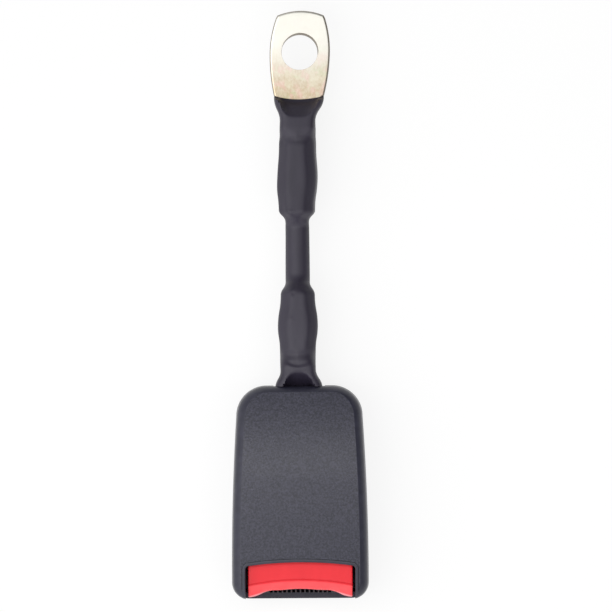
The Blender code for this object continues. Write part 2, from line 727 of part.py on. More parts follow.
def make_frame(finish):
    tail_bottom, tail_top = PARTING - SHEET / 2, PARTING + SHEET / 2
    end = LOWER_EYE_Y + 2 * LUG_HALF_WIDTH
    profile = [
        (0, FRAME_UNDERSIDE),
        (JOGGLE_START_Y, FRAME_UNDERSIDE),
        (JOGGLE_END_Y, tail_bottom),
        (end, tail_bottom),
        (end, tail_top),
        (JOGGLE_END_Y - GAP, tail_top),
        (JOGGLE_START_Y - 2 * GAP, FRAME_TOP),
        (0, FRAME_TOP),
    ]
    frame = slab("frame", "X", -2 * FRAME_HALF_WIDTH, 2 * FRAME_HALF_WIDTH, profile)
    nose_gap = RUN + GAP
    nose_slot = [
        (-NOSE_HALF_WIDTH - RUN, LATCH_FRONT_Y - nose_gap),
        (NOSE_HALF_WIDTH + RUN, LATCH_FRONT_Y - nose_gap),
        (NOSE_HALF_WIDTH + RUN, LATCH_FRONT_Y + NOSE_LENGTH + 3 * nose_gap),
        (-NOSE_HALF_WIDTH - RUN, LATCH_FRONT_Y + NOSE_LENGTH + 3 * nose_gap),
    ]
    key_start = EJECTOR_FRONT_Y + KEY_SETBACK
    key_end = key_start + 2 * RUN + KEY_LENGTH + EJECTOR_TRAVEL
    key_slot = [
        (-KEY_HALF_WIDTH - RUN, key_start),
        (KEY_HALF_WIDTH + RUN, key_start),
        (KEY_HALF_WIDTH + RUN, key_end),
        (-KEY_HALF_WIDTH - RUN, key_end),
    ]
    eye = circle((0, LOWER_EYE_Y), EYE_RADIUS)
    plan = slab("frame_plan", "Z", 0, 2 * PARTING, frame_plan(), [nose_slot, key_slot, eye])
    combine(frame, plan, "INTERSECT")
    middle = FRAME_UNDERSIDE + SHEET / 2
    wall_outline = [
        (FRAME_FRONT_Y, middle),
        (FRAME_WALL_END_Y, middle),
        (FRAME_WALL_END_Y, HIGH_WALL_TOP - SHEET),
        (FRAME_WALL_END_Y - SHEET, HIGH_WALL_TOP),
        (HIGH_WALL_START_Y, HIGH_WALL_TOP),
        (HIGH_WALL_START_Y - SHEET, LOW_WALL_TOP),
        (FRAME_FRONT_Y, LOW_WALL_TOP),
    ]
    ear_rest = lifted(EAR_Y, LATCH_TOP)
    window = [
        (EAR_Y - EAR_LENGTH / 2 - 3 * RUN, LATCH_BOTTOM - RUN),
        (EAR_Y + EAR_LENGTH / 2 + 2 * RUN, LATCH_BOTTOM - RUN),
        (EAR_Y + EAR_LENGTH / 2 + 2 * RUN, ear_rest[1] + 2 * RUN),
        (EAR_Y - EAR_LENGTH / 2 - 3 * RUN, ear_rest[1] + 2 * RUN),
    ]
    pin_hole = circle((PIVOT_Y, PIVOT_Z), PIN_RADIUS + GAP)
    rivet_hole = circle(((BRIDGE_START_Y + BRIDGE_END_Y) / 2, RIVET_Z), RIVET_RADIUS + GAP)
    for side in (-1, 1):
        low, high = sorted((side * (FRAME_HALF_WIDTH - SHEET), side * FRAME_HALF_WIDTH))
        join(frame, slab(f"frame_wall_{side}", "X", low, high, wall_outline, [window, pin_hole, rivet_hole]))
    tab = box(
        "spring_tab",
        (-TAB_HALF_WIDTH, JOGGLE_START_Y + GAP, middle + SHEET / 4),
        (TAB_HALF_WIDTH, JOGGLE_START_Y + GAP + TAB_THICKNESS, EJECTOR_TOP + GAP),
    )
    join(frame, tab)
    return part(frame, "frame", finish)


def make_bridge(finish):
    outer = FRAME_HALF_WIDTH - SHEET - GAP
    inner = outer - BRIDGE_SHEET
    under = BRIDGE_TOP - BRIDGE_SHEET
    section = [
        (-outer, FLANGE_BOTTOM),
        (-inner, FLANGE_BOTTOM),
        (-inner, under),
        (inner, under),
        (inner, FLANGE_BOTTOM),
        (outer, FLANGE_BOTTOM),
        (outer, BRIDGE_TOP),
        (-outer, BRIDGE_TOP),
    ]
    bridge = slab("frame_bridge", "Y", BRIDGE_START_Y, BRIDGE_END_Y, section)
    middle = (BRIDGE_START_Y + BRIDGE_END_Y) / 2
    holes = cylinder(
        "bridge_holes", "X", (0, middle, RIVET_Z), RIVET_RADIUS + GAP, 3 * FRAME_HALF_WIDTH
    )
    cut(bridge, holes)
    return part(bridge, "frame_bridge", finish)


def make_rivets(finish):
    inner = FRAME_HALF_WIDTH - SHEET - GAP - BRIDGE_SHEET
    length = FRAME_HALF_WIDTH - inner
    middle = (BRIDGE_START_Y + BRIDGE_END_Y) / 2
    for side, name in ((-1, "left"), (1, "right")):
        rivet = cylinder(
            f"rivet_{name}", "X", (side * (inner + length / 2), middle, RIVET_Z), RIVET_RADIUS, length
        )
        part(rivet, f"bridge_rivet_{name}", finish)


def make_latch(finish):
    ear = EAR_LENGTH / 2
    right = [
        (LATCH_HALF_WIDTH, LATCH_FRONT_Y),
        (LATCH_HALF_WIDTH, EAR_Y - ear),
        (EAR_REACH, EAR_Y - ear + EAR_TAPER),
        (EAR_REACH, EAR_Y + ear - EAR_TAPER),
        (LATCH_HALF_WIDTH, EAR_Y + ear),
        (LATCH_HALF_WIDTH, LATCH_REAR_Y),
    ]
    latch = slab("latch_plate", "Z", LATCH_BOTTOM, LATCH_TOP, mirrored(right))
    start = LATCH_FRONT_Y + 2 * GAP
    nose_outline = [
        (start, (LATCH_BOTTOM + LATCH_TOP) / 2),
        (start, NOSE_TIP + NOSE_LENGTH),
        (start + NOSE_LENGTH * 0.7, NOSE_TIP),
        (start + NOSE_LENGTH, NOSE_TIP),
        (start + NOSE_LENGTH, (LATCH_BOTTOM + LATCH_TOP) / 2),
    ]
    join(latch, slab("latch_nose", "X", -NOSE_HALF_WIDTH, NOSE_HALF_WIDTH, nose_outline))
    for side in (-1, 1):
        middle = side * (LATCH_HALF_WIDTH - GAP - KNUCKLE_WIDTH / 2)
        join(
            latch,
            cylinder(f"knuckle_{side}", "X", (middle, PIVOT_Y, PIVOT_Z), KNUCKLE_RADIUS, KNUCKLE_WIDTH),
        )
    bore = cylinder(
        "latch_bore", "X", (0, PIVOT_Y, PIVOT_Z), PIN_RADIUS + GAP, 3 * LATCH_HALF_WIDTH
    )
    cut(latch, bore)
    return part(latch, "latch_plate", finish, (0, PIVOT_Y, PIVOT_Z))


def make_latch_pin(finish):
    pin = cylinder("pin", "X", (0, PIVOT_Y, PIVOT_Z), PIN_RADIUS, 2 * FRAME_HALF_WIDTH)
    return part(pin, "latch_pin", finish, (0, PIVOT_Y, PIVOT_Z))


def make_ejector(finish):
    ejector = box(
        "ejector",
        (-EJECTOR_HALF_WIDTH, EJECTOR_FRONT_Y, SLOT_FLOOR),
        (EJECTOR_HALF_WIDTH, EJECTOR_REAR_Y, EJECTOR_TOP),
    )
    start = EJECTOR_FRONT_Y + KEY_SETBACK + RUN
    key = box(
        "ejector_key",
        (-KEY_HALF_WIDTH, start, FRAME_UNDERSIDE + GAP),
        (KEY_HALF_WIDTH, start + KEY_LENGTH, EJECTOR_MIDDLE),
    )
    peg = cylinder(
        "ejector_peg",
        "Y",
        (0, EJECTOR_REAR_Y + PEG_LENGTH / 2 - 2 * GAP, EJECTOR_MIDDLE),
        PEG_RADIUS,
        PEG_LENGTH,
        10,
    )
    join(ejector, key, peg)
    return part(ejector, "ejector", finish)


def make_springs(finish):
    for side, name in ((-1, "left"), (1, "right")):
        height = EJECTOR_TOP + 2 * PAD_HALF_HEIGHT
        spring = coil(
            f"coil_{name}",
            "Y",
            (side * SPRING_X, ARM_END_Y + GAP, height),
            (side * SPRING_X, POST_Y - GAP, height),
            BUTTON_SPRING,
        )
        part(spring, f"button_spring_{name}", finish)
    spring = coil(
        "ejector_coil",
        "Y",
        (0, EJECTOR_REAR_Y + GAP, EJECTOR_MIDDLE),
        (0, JOGGLE_START_Y, EJECTOR_MIDDLE),
        EJECTOR_SPRING,
    )
    part(spring, "ejector_spring", finish)
    middle = (BRIDGE_START_Y + BRIDGE_END_Y) / 2
    spring = coil(
        "latch_coil",
        "Z",
        (0, middle, LATCH_TOP + GAP),
        (0, middle, BRIDGE_TOP - BRIDGE_SHEET - GAP),
        LATCH_SPRING,
    )
    part(spring, "latch_spring", finish)


# Stalk


def smooth(points, steps):
    """Points on a smooth curve through the given ones."""
    points = [Vector(p) for p in points]
    ends = [points[0] * 2 - points[1], *points, points[-1] * 2 - points[-2]]
    found = []
    for a, b, c, d in zip(ends, ends[1:], ends[2:], ends[3:]):
        for i in range(steps):
            t = i / steps
            found.append(
                0.5
                * (
                    2 * b
                    + (c - a) * t
                    + (2 * a - 5 * b + 4 * c - d) * t**2
                    + (3 * b - a - 3 * c + d) * t**3
                )
            )
    return [*found, points[-1]]


def eye_route(eye_y, heading, half_thickness, ferrule):
    """The rope from one ferrule bore through the eye and back: (y, z from the axis)."""
    r = ROPE_RADIUS
    mouth, far = ferrule
    leg = [
        (0.06 * r, half_thickness + 0.31 * r),
        (0.54 * r, half_thickness + 1.15 * r),
        (1.42 * r, half_thickness + 1.46 * r),
        (2.33 * r, half_thickness + 1.19 * r),
    ]
    leg = [(eye_y + heading * y, z) for y, z in leg]
    leg.append((mouth, ROPE_SPREAD + 0.1 * r))
    leg.append((mouth + 0.35 * (far - mouth), ROPE_SPREAD))
    leg.append((far - heading * 2 * GAP, ROPE_SPREAD))
    return [(y, -z) for y, z in reversed(leg)] + [(eye_y, 0)] + leg


def make_rope(finish):
    lower = eye_route(LOWER_EYE_Y, 1, SHEET / 2, LOWER_FERRULE)
    upper = eye_route(UPPER_EYE_Y, -1, PLATE_THICKNESS / 2, tuple(reversed(UPPER_FERRULE)))
    middle = (LOWER_FERRULE[1] + UPPER_FERRULE[0]) / 2
    route = [*lower, (middle - SLEEVE_NECK, 0), (middle + SLEEVE_NECK, 0), *upper]
    points = smooth([(0, y, PARTING + z) for y, z in route], 2)
    return part(tube("rope", points, ROPE_RADIUS, 3), "wire_rope", finish)


def chamfered(half_width, half_height, chamfer):
    corners = []
    for sx, sz in ((1, -1), (1, 1), (-1, 1), (-1, -1)):
        side = (sx * half_width, sz * (half_height - chamfer))
        top = (sx * (half_width - chamfer), sz * half_height)
        corners += [top, side] if sx * sz < 0 else [side, top]
    return corners


def make_ferrule(name, span, finish):
    """A pressed barrel with eight flats round both strands of the rope."""
    bore_radius = FERRULE_BORE_RADIUS
    centre = ROPE_SPREAD + GAP
    half_height = centre + bore_radius + FERRULE_WALL
    steps = 6
    rings = []
    for i in range(steps + 1):
        y = span[0] + (span[1] - span[0]) * i / steps
        pressed = GAP if i in (0, steps) else 0
        half_width = sleeve_half_width(y) - SLEEVE_WALL - GAP - pressed
        ring = chamfered(half_width, half_height - pressed, half_width * FERRULE_CHAMFER)
        rings.append([(x, y, PARTING + z) for x, z in ring])
    barrel = loft(name, rings)
    bore_outline = stadium((0, PARTING - centre), (0, PARTING + centre), bore_radius)
    cut(barrel, slab(name + "_bore", "Y", span[0] - WALL, span[1] + WALL, bore_outline))
    return part(barrel, name, finish)


def eye_rise(beyond):
    """Share of the eye's full height that the sleeve keeps this far beyond the eye's centre."""
    run = (beyond / ROPE_RADIUS + 1.3) / 4
    run = min(max(run, 0), 1)
    return 1 - run * run * (3 - 2 * run)


def ease(y, start, end, before, after):
    """A soft step between two values."""
    t = min(max((y - start) / (end - start), 0), 1)
    return before + (after - before) * t * t * (3 - 2 * t)


def sleeve_half_width(y):
    lower_end, upper_start = LOWER_FERRULE[1], UPPER_FERRULE[0]
    if y < LOWER_FERRULE[0]:
        start = SLEEVE_START_Y + 2 * GAP
        return ease(y, start, start + SLEEVE_FLARE, SLEEVE_HOUSING_HALF_WIDTH, SLEEVE_WAIST)
    if y < LOWER_SWELL_Y:
        return ease(y, LOWER_FERRULE[0], LOWER_SWELL_Y, SLEEVE_WAIST, SLEEVE_LOWER_SWELL)
    if y < lower_end - GAP:
        return ease(y, LOWER_SWELL_Y, lower_end, SLEEVE_LOWER_SWELL, SLEEVE_FERRULE_END)
    if y < (lower_end + upper_start) / 2:
        return ease(y, lower_end - GAP, lower_end + SLEEVE_NECK, SLEEVE_FERRULE_END, SLEEVE_MID_RADIUS)
    if y < upper_start + GAP:
        return ease(y, upper_start - SLEEVE_NECK, upper_start + GAP, SLEEVE_MID_RADIUS, SLEEVE_FERRULE_END)
    if y < UPPER_SWELL_Y:
        return ease(y, upper_start, UPPER_SWELL_Y, SLEEVE_FERRULE_END, SLEEVE_UPPER_SWELL)
    if y < UPPER_FERRULE[1]:
        return ease(y, UPPER_SWELL_Y, UPPER_FERRULE[1], SLEEVE_UPPER_SWELL, SLEEVE_WAIST)
    flare = SLEEVE_END_Y - SLEEVE_PLATE_FLARE
    return ease(y, flare, SLEEVE_END_Y - GAP, SLEEVE_WAIST, SLEEVE_PLATE_HALF_WIDTH)


def sleeve_half_height(y):
    flat = PLATE_THICKNESS / 2 + GAP + SLEEVE_WALL
    ferrule = ROPE_SPREAD + GAP + FERRULE_BORE_RADIUS + FERRULE_WALL + GAP + SLEEVE_WALL
    lower_eye = SHEET / 2 + 2.46 * ROPE_RADIUS + GAP + SLEEVE_WALL
    upper_eye = PLATE_THICKNESS / 2 + 2.46 * ROPE_RADIUS + GAP + SLEEVE_WALL
    middle = (LOWER_FERRULE[1] + UPPER_FERRULE[0]) / 2
    if y < LOWER_EYE_Y + 2 * ROPE_RADIUS:
        return flat + (max(lower_eye, ferrule) - flat) * eye_rise(LOWER_EYE_Y - y)
    if y < LOWER_FERRULE[1]:
        return max(lower_eye, ferrule)
    if y < middle:
        return ease(y, LOWER_FERRULE[1] + GAP, middle - SLEEVE_NECK, ferrule, SLEEVE_MID_RADIUS)
    if y < UPPER_FERRULE[0]:
        return ease(y, middle + SLEEVE_NECK, UPPER_FERRULE[0] - GAP, SLEEVE_MID_RADIUS, ferrule)
    if y < UPPER_EYE_Y - 2 * ROPE_RADIUS:
        return max(upper_eye, ferrule)
    return flat + (max(upper_eye, ferrule) - flat) * eye_rise(y - UPPER_EYE_Y)


def sleeve_ring(y, thinner, sides=24):
    """One ring of the sleeve: round on the rope, square-shouldered on the ferrules and flat on the plates."""
    half_width = sleeve_half_width(y)
    half_height = sleeve_half_height(y)
    squareness = ease(half_height / half_width, 0.5, 1.0, 0.3, 0.5)
    power = ease(max(half_width, half_height), SLEEVE_MID_RADIUS, SLEEVE_FERRULE_END, 1.0, squareness)
    ring = []
    for i in range(sides):
        angle = 2 * math.pi * i / sides
        c, s = math.cos(angle), math.sin(angle)
        x = (half_width - thinner) * math.copysign(abs(c) ** power, c)
        z = (half_height - thinner) * math.copysign(abs(s) ** power, s)
        ring.append((x, y, PARTING + z))
    return ring


def make_sleeve(finish):
    length = SLEEVE_END_Y - SLEEVE_START_Y
    places = [SLEEVE_START_Y + length * i / SLEEVE_RINGS for i in range(SLEEVE_RINGS + 1)]
    sleeve = loft("cable_sleeve", [sleeve_ring(y, 0) for y in places])
    ends = [places[0] - WALL] + places[1:-1] + [places[-1] + WALL]
    rings = []
    for y, place in zip(ends, places):
        rings.append([(x, y, z) for x, _, z in sleeve_ring(place, SLEEVE_WALL)])
    cut(sleeve, loft("sleeve_bore", rings))
    return part(sleeve, "cable_sleeve", finish)


# Anchor plate


def plate_side(y):
    if y > PLATE_WIDEST_Y:
        return PLATE_HALF_WIDTH - (y - PLATE_WIDEST_Y) ** 2 / (2 * PLATE_UPPER_ARC)
    share = (PLATE_WIDEST_Y - y) / (PLATE_WIDEST_Y - PLATE_SHOULDER_Y)
    return PLATE_HALF_WIDTH - (PLATE_HALF_WIDTH - PLATE_SHOULDER_HALF_WIDTH) * share**2


def plate_outline():
    inside = SLEEVE_WALL + GAP
    shank = SLEEVE_WAIST - inside
    right = arc((0, UPPER_EYE_Y), shank, -90, 0, 8)
    right[0] = (0, right[0][1])
    for i in range(1, 7):
        y = UPPER_EYE_Y + (SLEEVE_END_Y - UPPER_EYE_Y) * i / 6
        right.append((sleeve_half_width(y) - inside - GAP / 3, y))
    right.append((plate_side(PLATE_SHOULDER_Y), PLATE_SHOULDER_Y))
    top_y = PLATE_TIP_Y - PLATE_TOP_HALF_WIDTH**2 / (2 * PLATE_TOP_ARC)
    for i in range(1, 11):
        y = PLATE_SHOULDER_Y + (top_y - PLATE_CORNER - PLATE_SHOULDER_Y) * i / 10
        right.append((plate_side(y), y))
    for i in range(6, -1, -1):
        x = PLATE_TOP_HALF_WIDTH * i / 6
        right.append((x, PLATE_TIP_Y - x**2 / (2 * PLATE_TOP_ARC)))
    return mirrored(right)


def make_anchor_plate(finish):
    holes = [
        circle((0, BOLT_HOLE_Y), BOLT_HOLE_RADIUS, 40),
        circle((0, UPPER_EYE_Y), EYE_RADIUS),
    ]
    half = PLATE_THICKNESS / 2
    plate = slab("anchor_plate", "Z", PARTING - half, PARTING + half, plate_outline(), holes)
    edge = plate.modifiers.new("edge", "BEVEL")
    edge.width = PLATE_EDGE
    edge.segments = 1
    edge.limit_method = "ANGLE"
    edge.angle_limit = math.radians(60)
    return part(plate, "anchor_plate", finish)


def main():
    cover_grey = material("cover_grey", (0.075, 0.085, 0.115), 0.42)
    button_red = material("button_red", (0.85, 0.05, 0.06), 0.35)
    insert_black = material("insert_black", (0.03, 0.03, 0.035), 0.5)
    sheet_steel = material("sheet_steel", (0.55, 0.55, 0.56), 0.35, 1.0)
    pin_steel = material("pin_steel", (0.68, 0.68, 0.70), 0.25, 1.0)
    spring_steel = material("spring_steel", (0.45, 0.46, 0.48), 0.3, 1.0)
    rope_steel = material("rope_steel", (0.60, 0.61, 0.62), 0.35, 1.0)
    ferrule_alloy = material("ferrule_alloy", (0.50, 0.50, 0.51), 0.4, 1.0)
    sleeve_black = material("sleeve_black", (0.035, 0.034, 0.042), 0.5)
    zinc_yellow = material("zinc_yellow", (0.80, 0.66, 0.42), 0.3, 1.0)
    slider_white = material("slider_white", (0.75, 0.74, 0.70), 0.45)
    make_front_cover(cover_grey)
    make_back_cover(cover_grey)
    make_press_button(button_red)
    make_tongue_guide(insert_black)
    make_frame(sheet_steel)
    make_bridge(sheet_steel)
    make_rivets(pin_steel)
    make_latch(sheet_steel)
    make_latch_pin(pin_steel)
    make_ejector(slider_white)
    make_springs(spring_steel)
    make_rope(rope_steel)
    make_ferrule("lower_ferrule", LOWER_FERRULE, ferrule_alloy)
    make_ferrule("upper_ferrule", UPPER_FERRULE, ferrule_alloy)
    make_sleeve(sleeve_black)
    make_anchor_plate(zinc_yellow)


main()
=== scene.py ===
# %% [markdown]
# A seat belt buckle that lies on its back: a moulded housing with a red press button, a sleeved
# wire-rope stalk, and a steel anchor plate with a bolt hole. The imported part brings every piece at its
# real size, with plain faceted surfaces. This script keeps the pieces that are right as they are and
# models a finer skin over those that show: rounded edges, grain, folds in the sleeve, plating.
#
# The first cell loads the part. Everything is in metres, X across the buckle, Y from the tongue slot to
# the anchor plate, Z up.

# %% Load the part
import math

import bmesh
import bpy
from mathutils import Matrix, Vector, noise


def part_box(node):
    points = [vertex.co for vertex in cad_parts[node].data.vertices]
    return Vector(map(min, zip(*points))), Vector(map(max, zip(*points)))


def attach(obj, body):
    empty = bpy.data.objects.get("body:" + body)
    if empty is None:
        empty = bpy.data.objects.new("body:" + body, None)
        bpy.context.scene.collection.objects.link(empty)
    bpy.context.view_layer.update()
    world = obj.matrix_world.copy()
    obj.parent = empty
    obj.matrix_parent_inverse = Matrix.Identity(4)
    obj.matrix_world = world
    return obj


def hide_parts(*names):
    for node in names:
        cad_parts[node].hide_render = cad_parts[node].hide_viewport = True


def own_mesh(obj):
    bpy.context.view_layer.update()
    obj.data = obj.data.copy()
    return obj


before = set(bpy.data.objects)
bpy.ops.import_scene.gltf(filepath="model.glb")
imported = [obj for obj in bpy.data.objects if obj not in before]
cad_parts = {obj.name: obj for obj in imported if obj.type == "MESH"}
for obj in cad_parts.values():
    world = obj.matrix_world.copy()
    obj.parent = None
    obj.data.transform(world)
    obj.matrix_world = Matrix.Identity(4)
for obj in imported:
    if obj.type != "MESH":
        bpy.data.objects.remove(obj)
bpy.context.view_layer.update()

print("Nodes:", ", ".join(sorted(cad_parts)))

# %% [markdown]
# Sizes. A model that is drawn from a few driving sizes stays easy to change. Places along the buckle are
# counted from the mouth of the housing; one value, MOUTH, turns them into the part's own Y. Where a piece
# of the part already says how long or wide something is, its box is asked, so that the skin can't drift
# away from what it covers.

# %% Sizes taken from the part
GAP = 0.0003
WALL = 0.002
HOUSING_LENGTH = 0.0738
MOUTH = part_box("front_cover")[1][1] - HOUSING_LENGTH
HALF_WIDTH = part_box("front_cover")[1][0]
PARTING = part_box("front_cover")[0][2] - GAP / 2
FRAME_HALF_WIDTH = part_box("frame")[1][0]
ARM_INSIDE = FRAME_HALF_WIDTH + GAP


def span(node):
    """Where a node starts and ends, counted from the mouth."""
    low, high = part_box(node)
    return low[1] - MOUTH, high[1] - MOUTH


print(f"Mouth at y {MOUTH:.4f}, half width {HALF_WIDTH:.4f}, covers part at z {PARTING:.4f}")

# %% [markdown]
# The camera looks straight down, as in a catalogue picture. A long lens from far away keeps the sides
# parallel: with a short one, the raised housing would look too large beside the thin plate. The lens
# follows from the width that the picture shows and from the distance.

# %% Camera
PICTURE_WIDTH = 0.2111
CAMERA_DISTANCE = 3.0
CAMERA_PLACE = (0.0025, -0.0004)
CAMERA_TURN = math.radians(-0.35)
SHARP_HEIGHT = 0.012


def stand(name, data):
    """A new object in the scene."""
    made = bpy.data.objects.new(name, data)
    bpy.context.scene.collection.objects.link(made)
    return made


camera_data = bpy.data.cameras.new("camera")
camera_data.sensor_width = 36
camera_data.lens = camera_data.sensor_width * CAMERA_DISTANCE / PICTURE_WIDTH
camera = stand("camera", camera_data)
camera.location = (*CAMERA_PLACE, SHARP_HEIGHT + CAMERA_DISTANCE)
camera.rotation_euler = (0, 0, CAMERA_TURN)
bpy.context.scene.camera = camera
bpy.context.scene.view_settings.view_transform = "Standard"
print(f"Lens {camera_data.lens:.0f} mm")

# %% [markdown]
# Shader nodes as sums. A material is easier to read as "base + 0.2 * speckle" than as a list of links.
# The class Flow holds one output socket; adding or multiplying it makes the Math node that does so. Every
# other node comes from Nodes.add, which sets the node's own settings first and its sockets after that.


# %% Nodes that read like sums
class Flow:
    """A value on its way through a node tree."""

    def __init__(self, nodes, socket):
        self.nodes = nodes
        self.socket = socket

    def __add__(self, other):
        return self.nodes.math("ADD", self, other)

    def __radd__(self, other):
        return self.nodes.math("ADD", other, self)

    def __sub__(self, other):
        return self.nodes.math("SUBTRACT", self, other)

    def __rsub__(self, other):
        return self.nodes.math("SUBTRACT", other, self)

    def __mul__(self, other):
        return self.nodes.math("MULTIPLY", self, other)

    def __rmul__(self, other):
        return self.nodes.math("MULTIPLY", other, self)


class Nodes:
    """The node tree of a material or of the world."""

    def __init__(self, tree):
        self.tree = tree

    def math(self, operation, *operands):
        """A Math node that has no sign of its own in Python."""
        return self.add("ShaderNodeMath", {"operation": operation}, dict(enumerate(operands)))

    def fill(self, node, values):
        for key, value in values.items():
            if isinstance(value, Flow):
                self.tree.links.new(value.socket, node.inputs[key])
            else:
                node.inputs[key].default_value = value

    def add(self, kind, settings=None, values=None, output=0):
        node = self.tree.nodes.new(kind)
        for name, setting in (settings or {}).items():
            if name == "stops":
                for number, (place, colour) in enumerate(setting):
                    ramp = node.color_ramp.elements
                    stop = ramp[number] if number < 2 else ramp.new(place)
                    stop.position = place
                    stop.color = (*colour, 1)
            else:
                setattr(node, name, setting)
        self.fill(node, values or {})
        return Flow(self, node.outputs[output])

    def place(self):
        """Where a point lies on its piece, in metres."""
        return self.add("ShaderNodeTexCoord", output="Object")

    def along(self, axis, vector=None):
        """One coordinate of a vector, or else of the point's place."""
        return self.add("ShaderNodeSeparateXYZ", values={0: vector or self.place()}, output=axis)

    def speckle(self, size, stretch=(1, 1, 1), detail=2, roughness=0.5):
        """Soft random spots of about this size, in metres, from 0 to 1."""
        scale = [s / size for s in stretch]
        scaled = self.add("ShaderNodeVectorMath", {"operation": "MULTIPLY"}, {0: self.place(), 1: scale})
        values = {"Vector": scaled, "Scale": 1, "Detail": detail, "Roughness": roughness}
        return self.add("ShaderNodeTexNoise", values=values)

    def fade(self, value, start, end, low=0.0, high=1.0):
        """Goes smoothly from low to high while the value goes from start to end."""
        values = {0: value, 1: start, 2: end, 3: low, 4: high}
        return self.add("ShaderNodeMapRange", {"interpolation_type": "SMOOTHSTEP"}, values)

    def mix(self, share, first, second):
        """A colour between two."""
        colours = {6: first, 7: second}
        for key, colour in colours.items():
            colours[key] = colour if isinstance(colour, Flow) else (*colour, 1)
        return self.add("ShaderNodeMix", {"data_type": "RGBA"}, {0: share, **colours}, 2)

    def bump(self, height, depth, under=None):
        """Tiny relief of this depth, in metres."""
        values = {"Strength": 1, "Distance": depth, "Height": height}
        if under:
            values["Normal"] = under
        return self.add("ShaderNodeBump", values=values)


def finish(name, **sockets):
    """A material whose Principled shader gets these sockets; underscores stand for spaces."""
    made = bpy.data.materials.new(name)
    made.use_nodes = True
    nodes = Nodes(made.node_tree)
    shader = made.node_tree.nodes["Principled BSDF"]
    for key, value in sockets.items():
        nodes.fill(shader, {key.replace("_", " "): value(nodes) if callable(value) else value})
    return made


print("Node helpers ready")

# %% [markdown]
# Studio light. The picture was taken in a light tent: bright from above, half bright from the left, dark
# on the right and behind. Black plastic shows nothing but its reflections, so this gradient draws the
# form of the sleeve and of the housing's edges. The world is worked out from the direction alone. One
# long strip lamp above the housing makes the soft bright band over its crest, and a key lamp from the
# upper left gives the shadows their side.

# %% World and lamps
OVERHEAD = 0.95
LEFT_SIDE = 0.75
RIGHT_SIDE = 0.17
BEHIND = -0.2
FRONT = 0.8

world = bpy.data.worlds.new("light_tent")
bpy.context.scene.world = world
world.use_nodes = True
sky = Nodes(world.node_tree)
direction = sky.add("ShaderNodeTexCoord", output="Generated")
east, north, height = (sky.along(axis, direction) for axis in "XYZ")
side = sky.fade(east, -0.6, 0.5, LEFT_SIDE, RIGHT_SIDE)
side = side + BEHIND * sky.fade(north, 0, 0.8) + FRONT * sky.fade(north, 0, -0.8)
ceiling = sky.fade(height, 0.6, 0.86)
brightness = side + ceiling * (OVERHEAD - side)
grey = sky.add("ShaderNodeCombineColor", values={0: brightness, 1: brightness, 2: brightness})
sky.fill(world.node_tree.nodes["Background"], {"Color": grey, "Strength": 1})


def lamp(name, place, aim, size, radiance):
    """A rectangular lamp of this size, seen in reflections as bright as the given radiance."""
    data = bpy.data.lights.new(name, "AREA")
    data.shape = "RECTANGLE"
    data.size, data.size_y = size
    data.energy = radiance * math.pi * size[0] * size[1]
    made = stand(name, data)
    made.location = place
    made.rotation_mode = "QUATERNION"
    made.rotation_quaternion = (Vector(aim) - Vector(place)).to_track_quat("-Z", "Y")
    made.visible_camera = False


CREST_Y = 0.042
STRIP_HEIGHT = 0.175
STRIP_LEAN = 0.017
strip_y = MOUTH + CREST_Y + STRIP_LEAN
lamp("strip", (0, strip_y, STRIP_HEIGHT), (0, strip_y, 0), (0.2, 0.03), 3.6)
lamp("key", (-0.85, -0.1, 1.0), (0, 0, 0), (1.0, 1.5), 1.15)
print("Lit by the tent, a strip and a key lamp")

# %% [markdown]
# The floor is a white sheet. In the picture it is pure white, so a share of what the camera and mirrors
# see of it is plain white, and the rest is the sheet as lit, which keeps the object's soft shadow. It lies
# a hair below the buckle, because two faces in one plane flicker where a view can't tell them apart.

# %% Floor
FLOOR_REACH = 4
FLOOR_DROP = 0.00002
WHITE_SHARE = 0.84

sheet_shape = bmesh.new()
bmesh.ops.create_grid(sheet_shape, x_segments=1, y_segments=1, size=FLOOR_REACH)
sheet_mesh = bpy.data.meshes.new("floor")
sheet_shape.to_mesh(sheet_mesh)
sheet_shape.free()
floor = stand("floor", sheet_mesh)
floor.location.z = -FLOOR_DROP

white = finish("white_sheet", Base_Color=(0.96, 0.96, 0.96, 1), Roughness=0.9)
nodes = Nodes(white.node_tree)
seen = nodes.add("ShaderNodeLightPath", output="Is Camera Ray")
seen = seen + nodes.add("ShaderNodeLightPath", output="Is Glossy Ray")
seen = seen + nodes.add("ShaderNodeLightPath", output="Is Transmission Ray")
glow = nodes.add("ShaderNodeEmission", values={"Color": (1, 1, 1, 1), "Strength": 1})
lit = Flow(nodes, white.node_tree.nodes["Principled BSDF"].outputs[0])
both = nodes.add("ShaderNodeMixShader", values={0: seen * WHITE_SHARE, 1: lit, 2: glow})
nodes.fill(white.node_tree.nodes["Material Output"], {"Surface": both})
sheet_mesh.materials.append(white)
print("White floor laid")

# %% [markdown]
# Moulded plastics. The covers are dark blue-grey ABS with a fine spark-eroded grain on the large faces,
# and a smoother strip round the button. The grain is relief, not paint: small spots tilt the surface and
# catch the light. It is bump here, because the real grain is some hundredths of a millimetre deep, far
# too fine for geometry. A little of it also goes into the colour and the roughness.

# %% Plastics
COVER_BLUE = (0.009, 0.010, 0.020)
COVER_PALE = (0.036, 0.035, 0.058)
GRAIN = 0.0007
GRAIN_DEPTH = 0.00010


def grain(nodes):
    return nodes.speckle(GRAIN, detail=4, roughness=0.7)


def plastic(name, dark, light, spot, gloss, uneven, relief, depth):
    """A plain moulded finish: spots of colour, uneven gloss and fine relief."""
    return finish(
        name,
        Base_Color=lambda nodes: nodes.mix(nodes.speckle(spot), dark, light),
        Roughness=lambda nodes: gloss + uneven * nodes.speckle(0.002),
        Normal=lambda nodes: nodes.bump(nodes.speckle(relief), depth),
    )


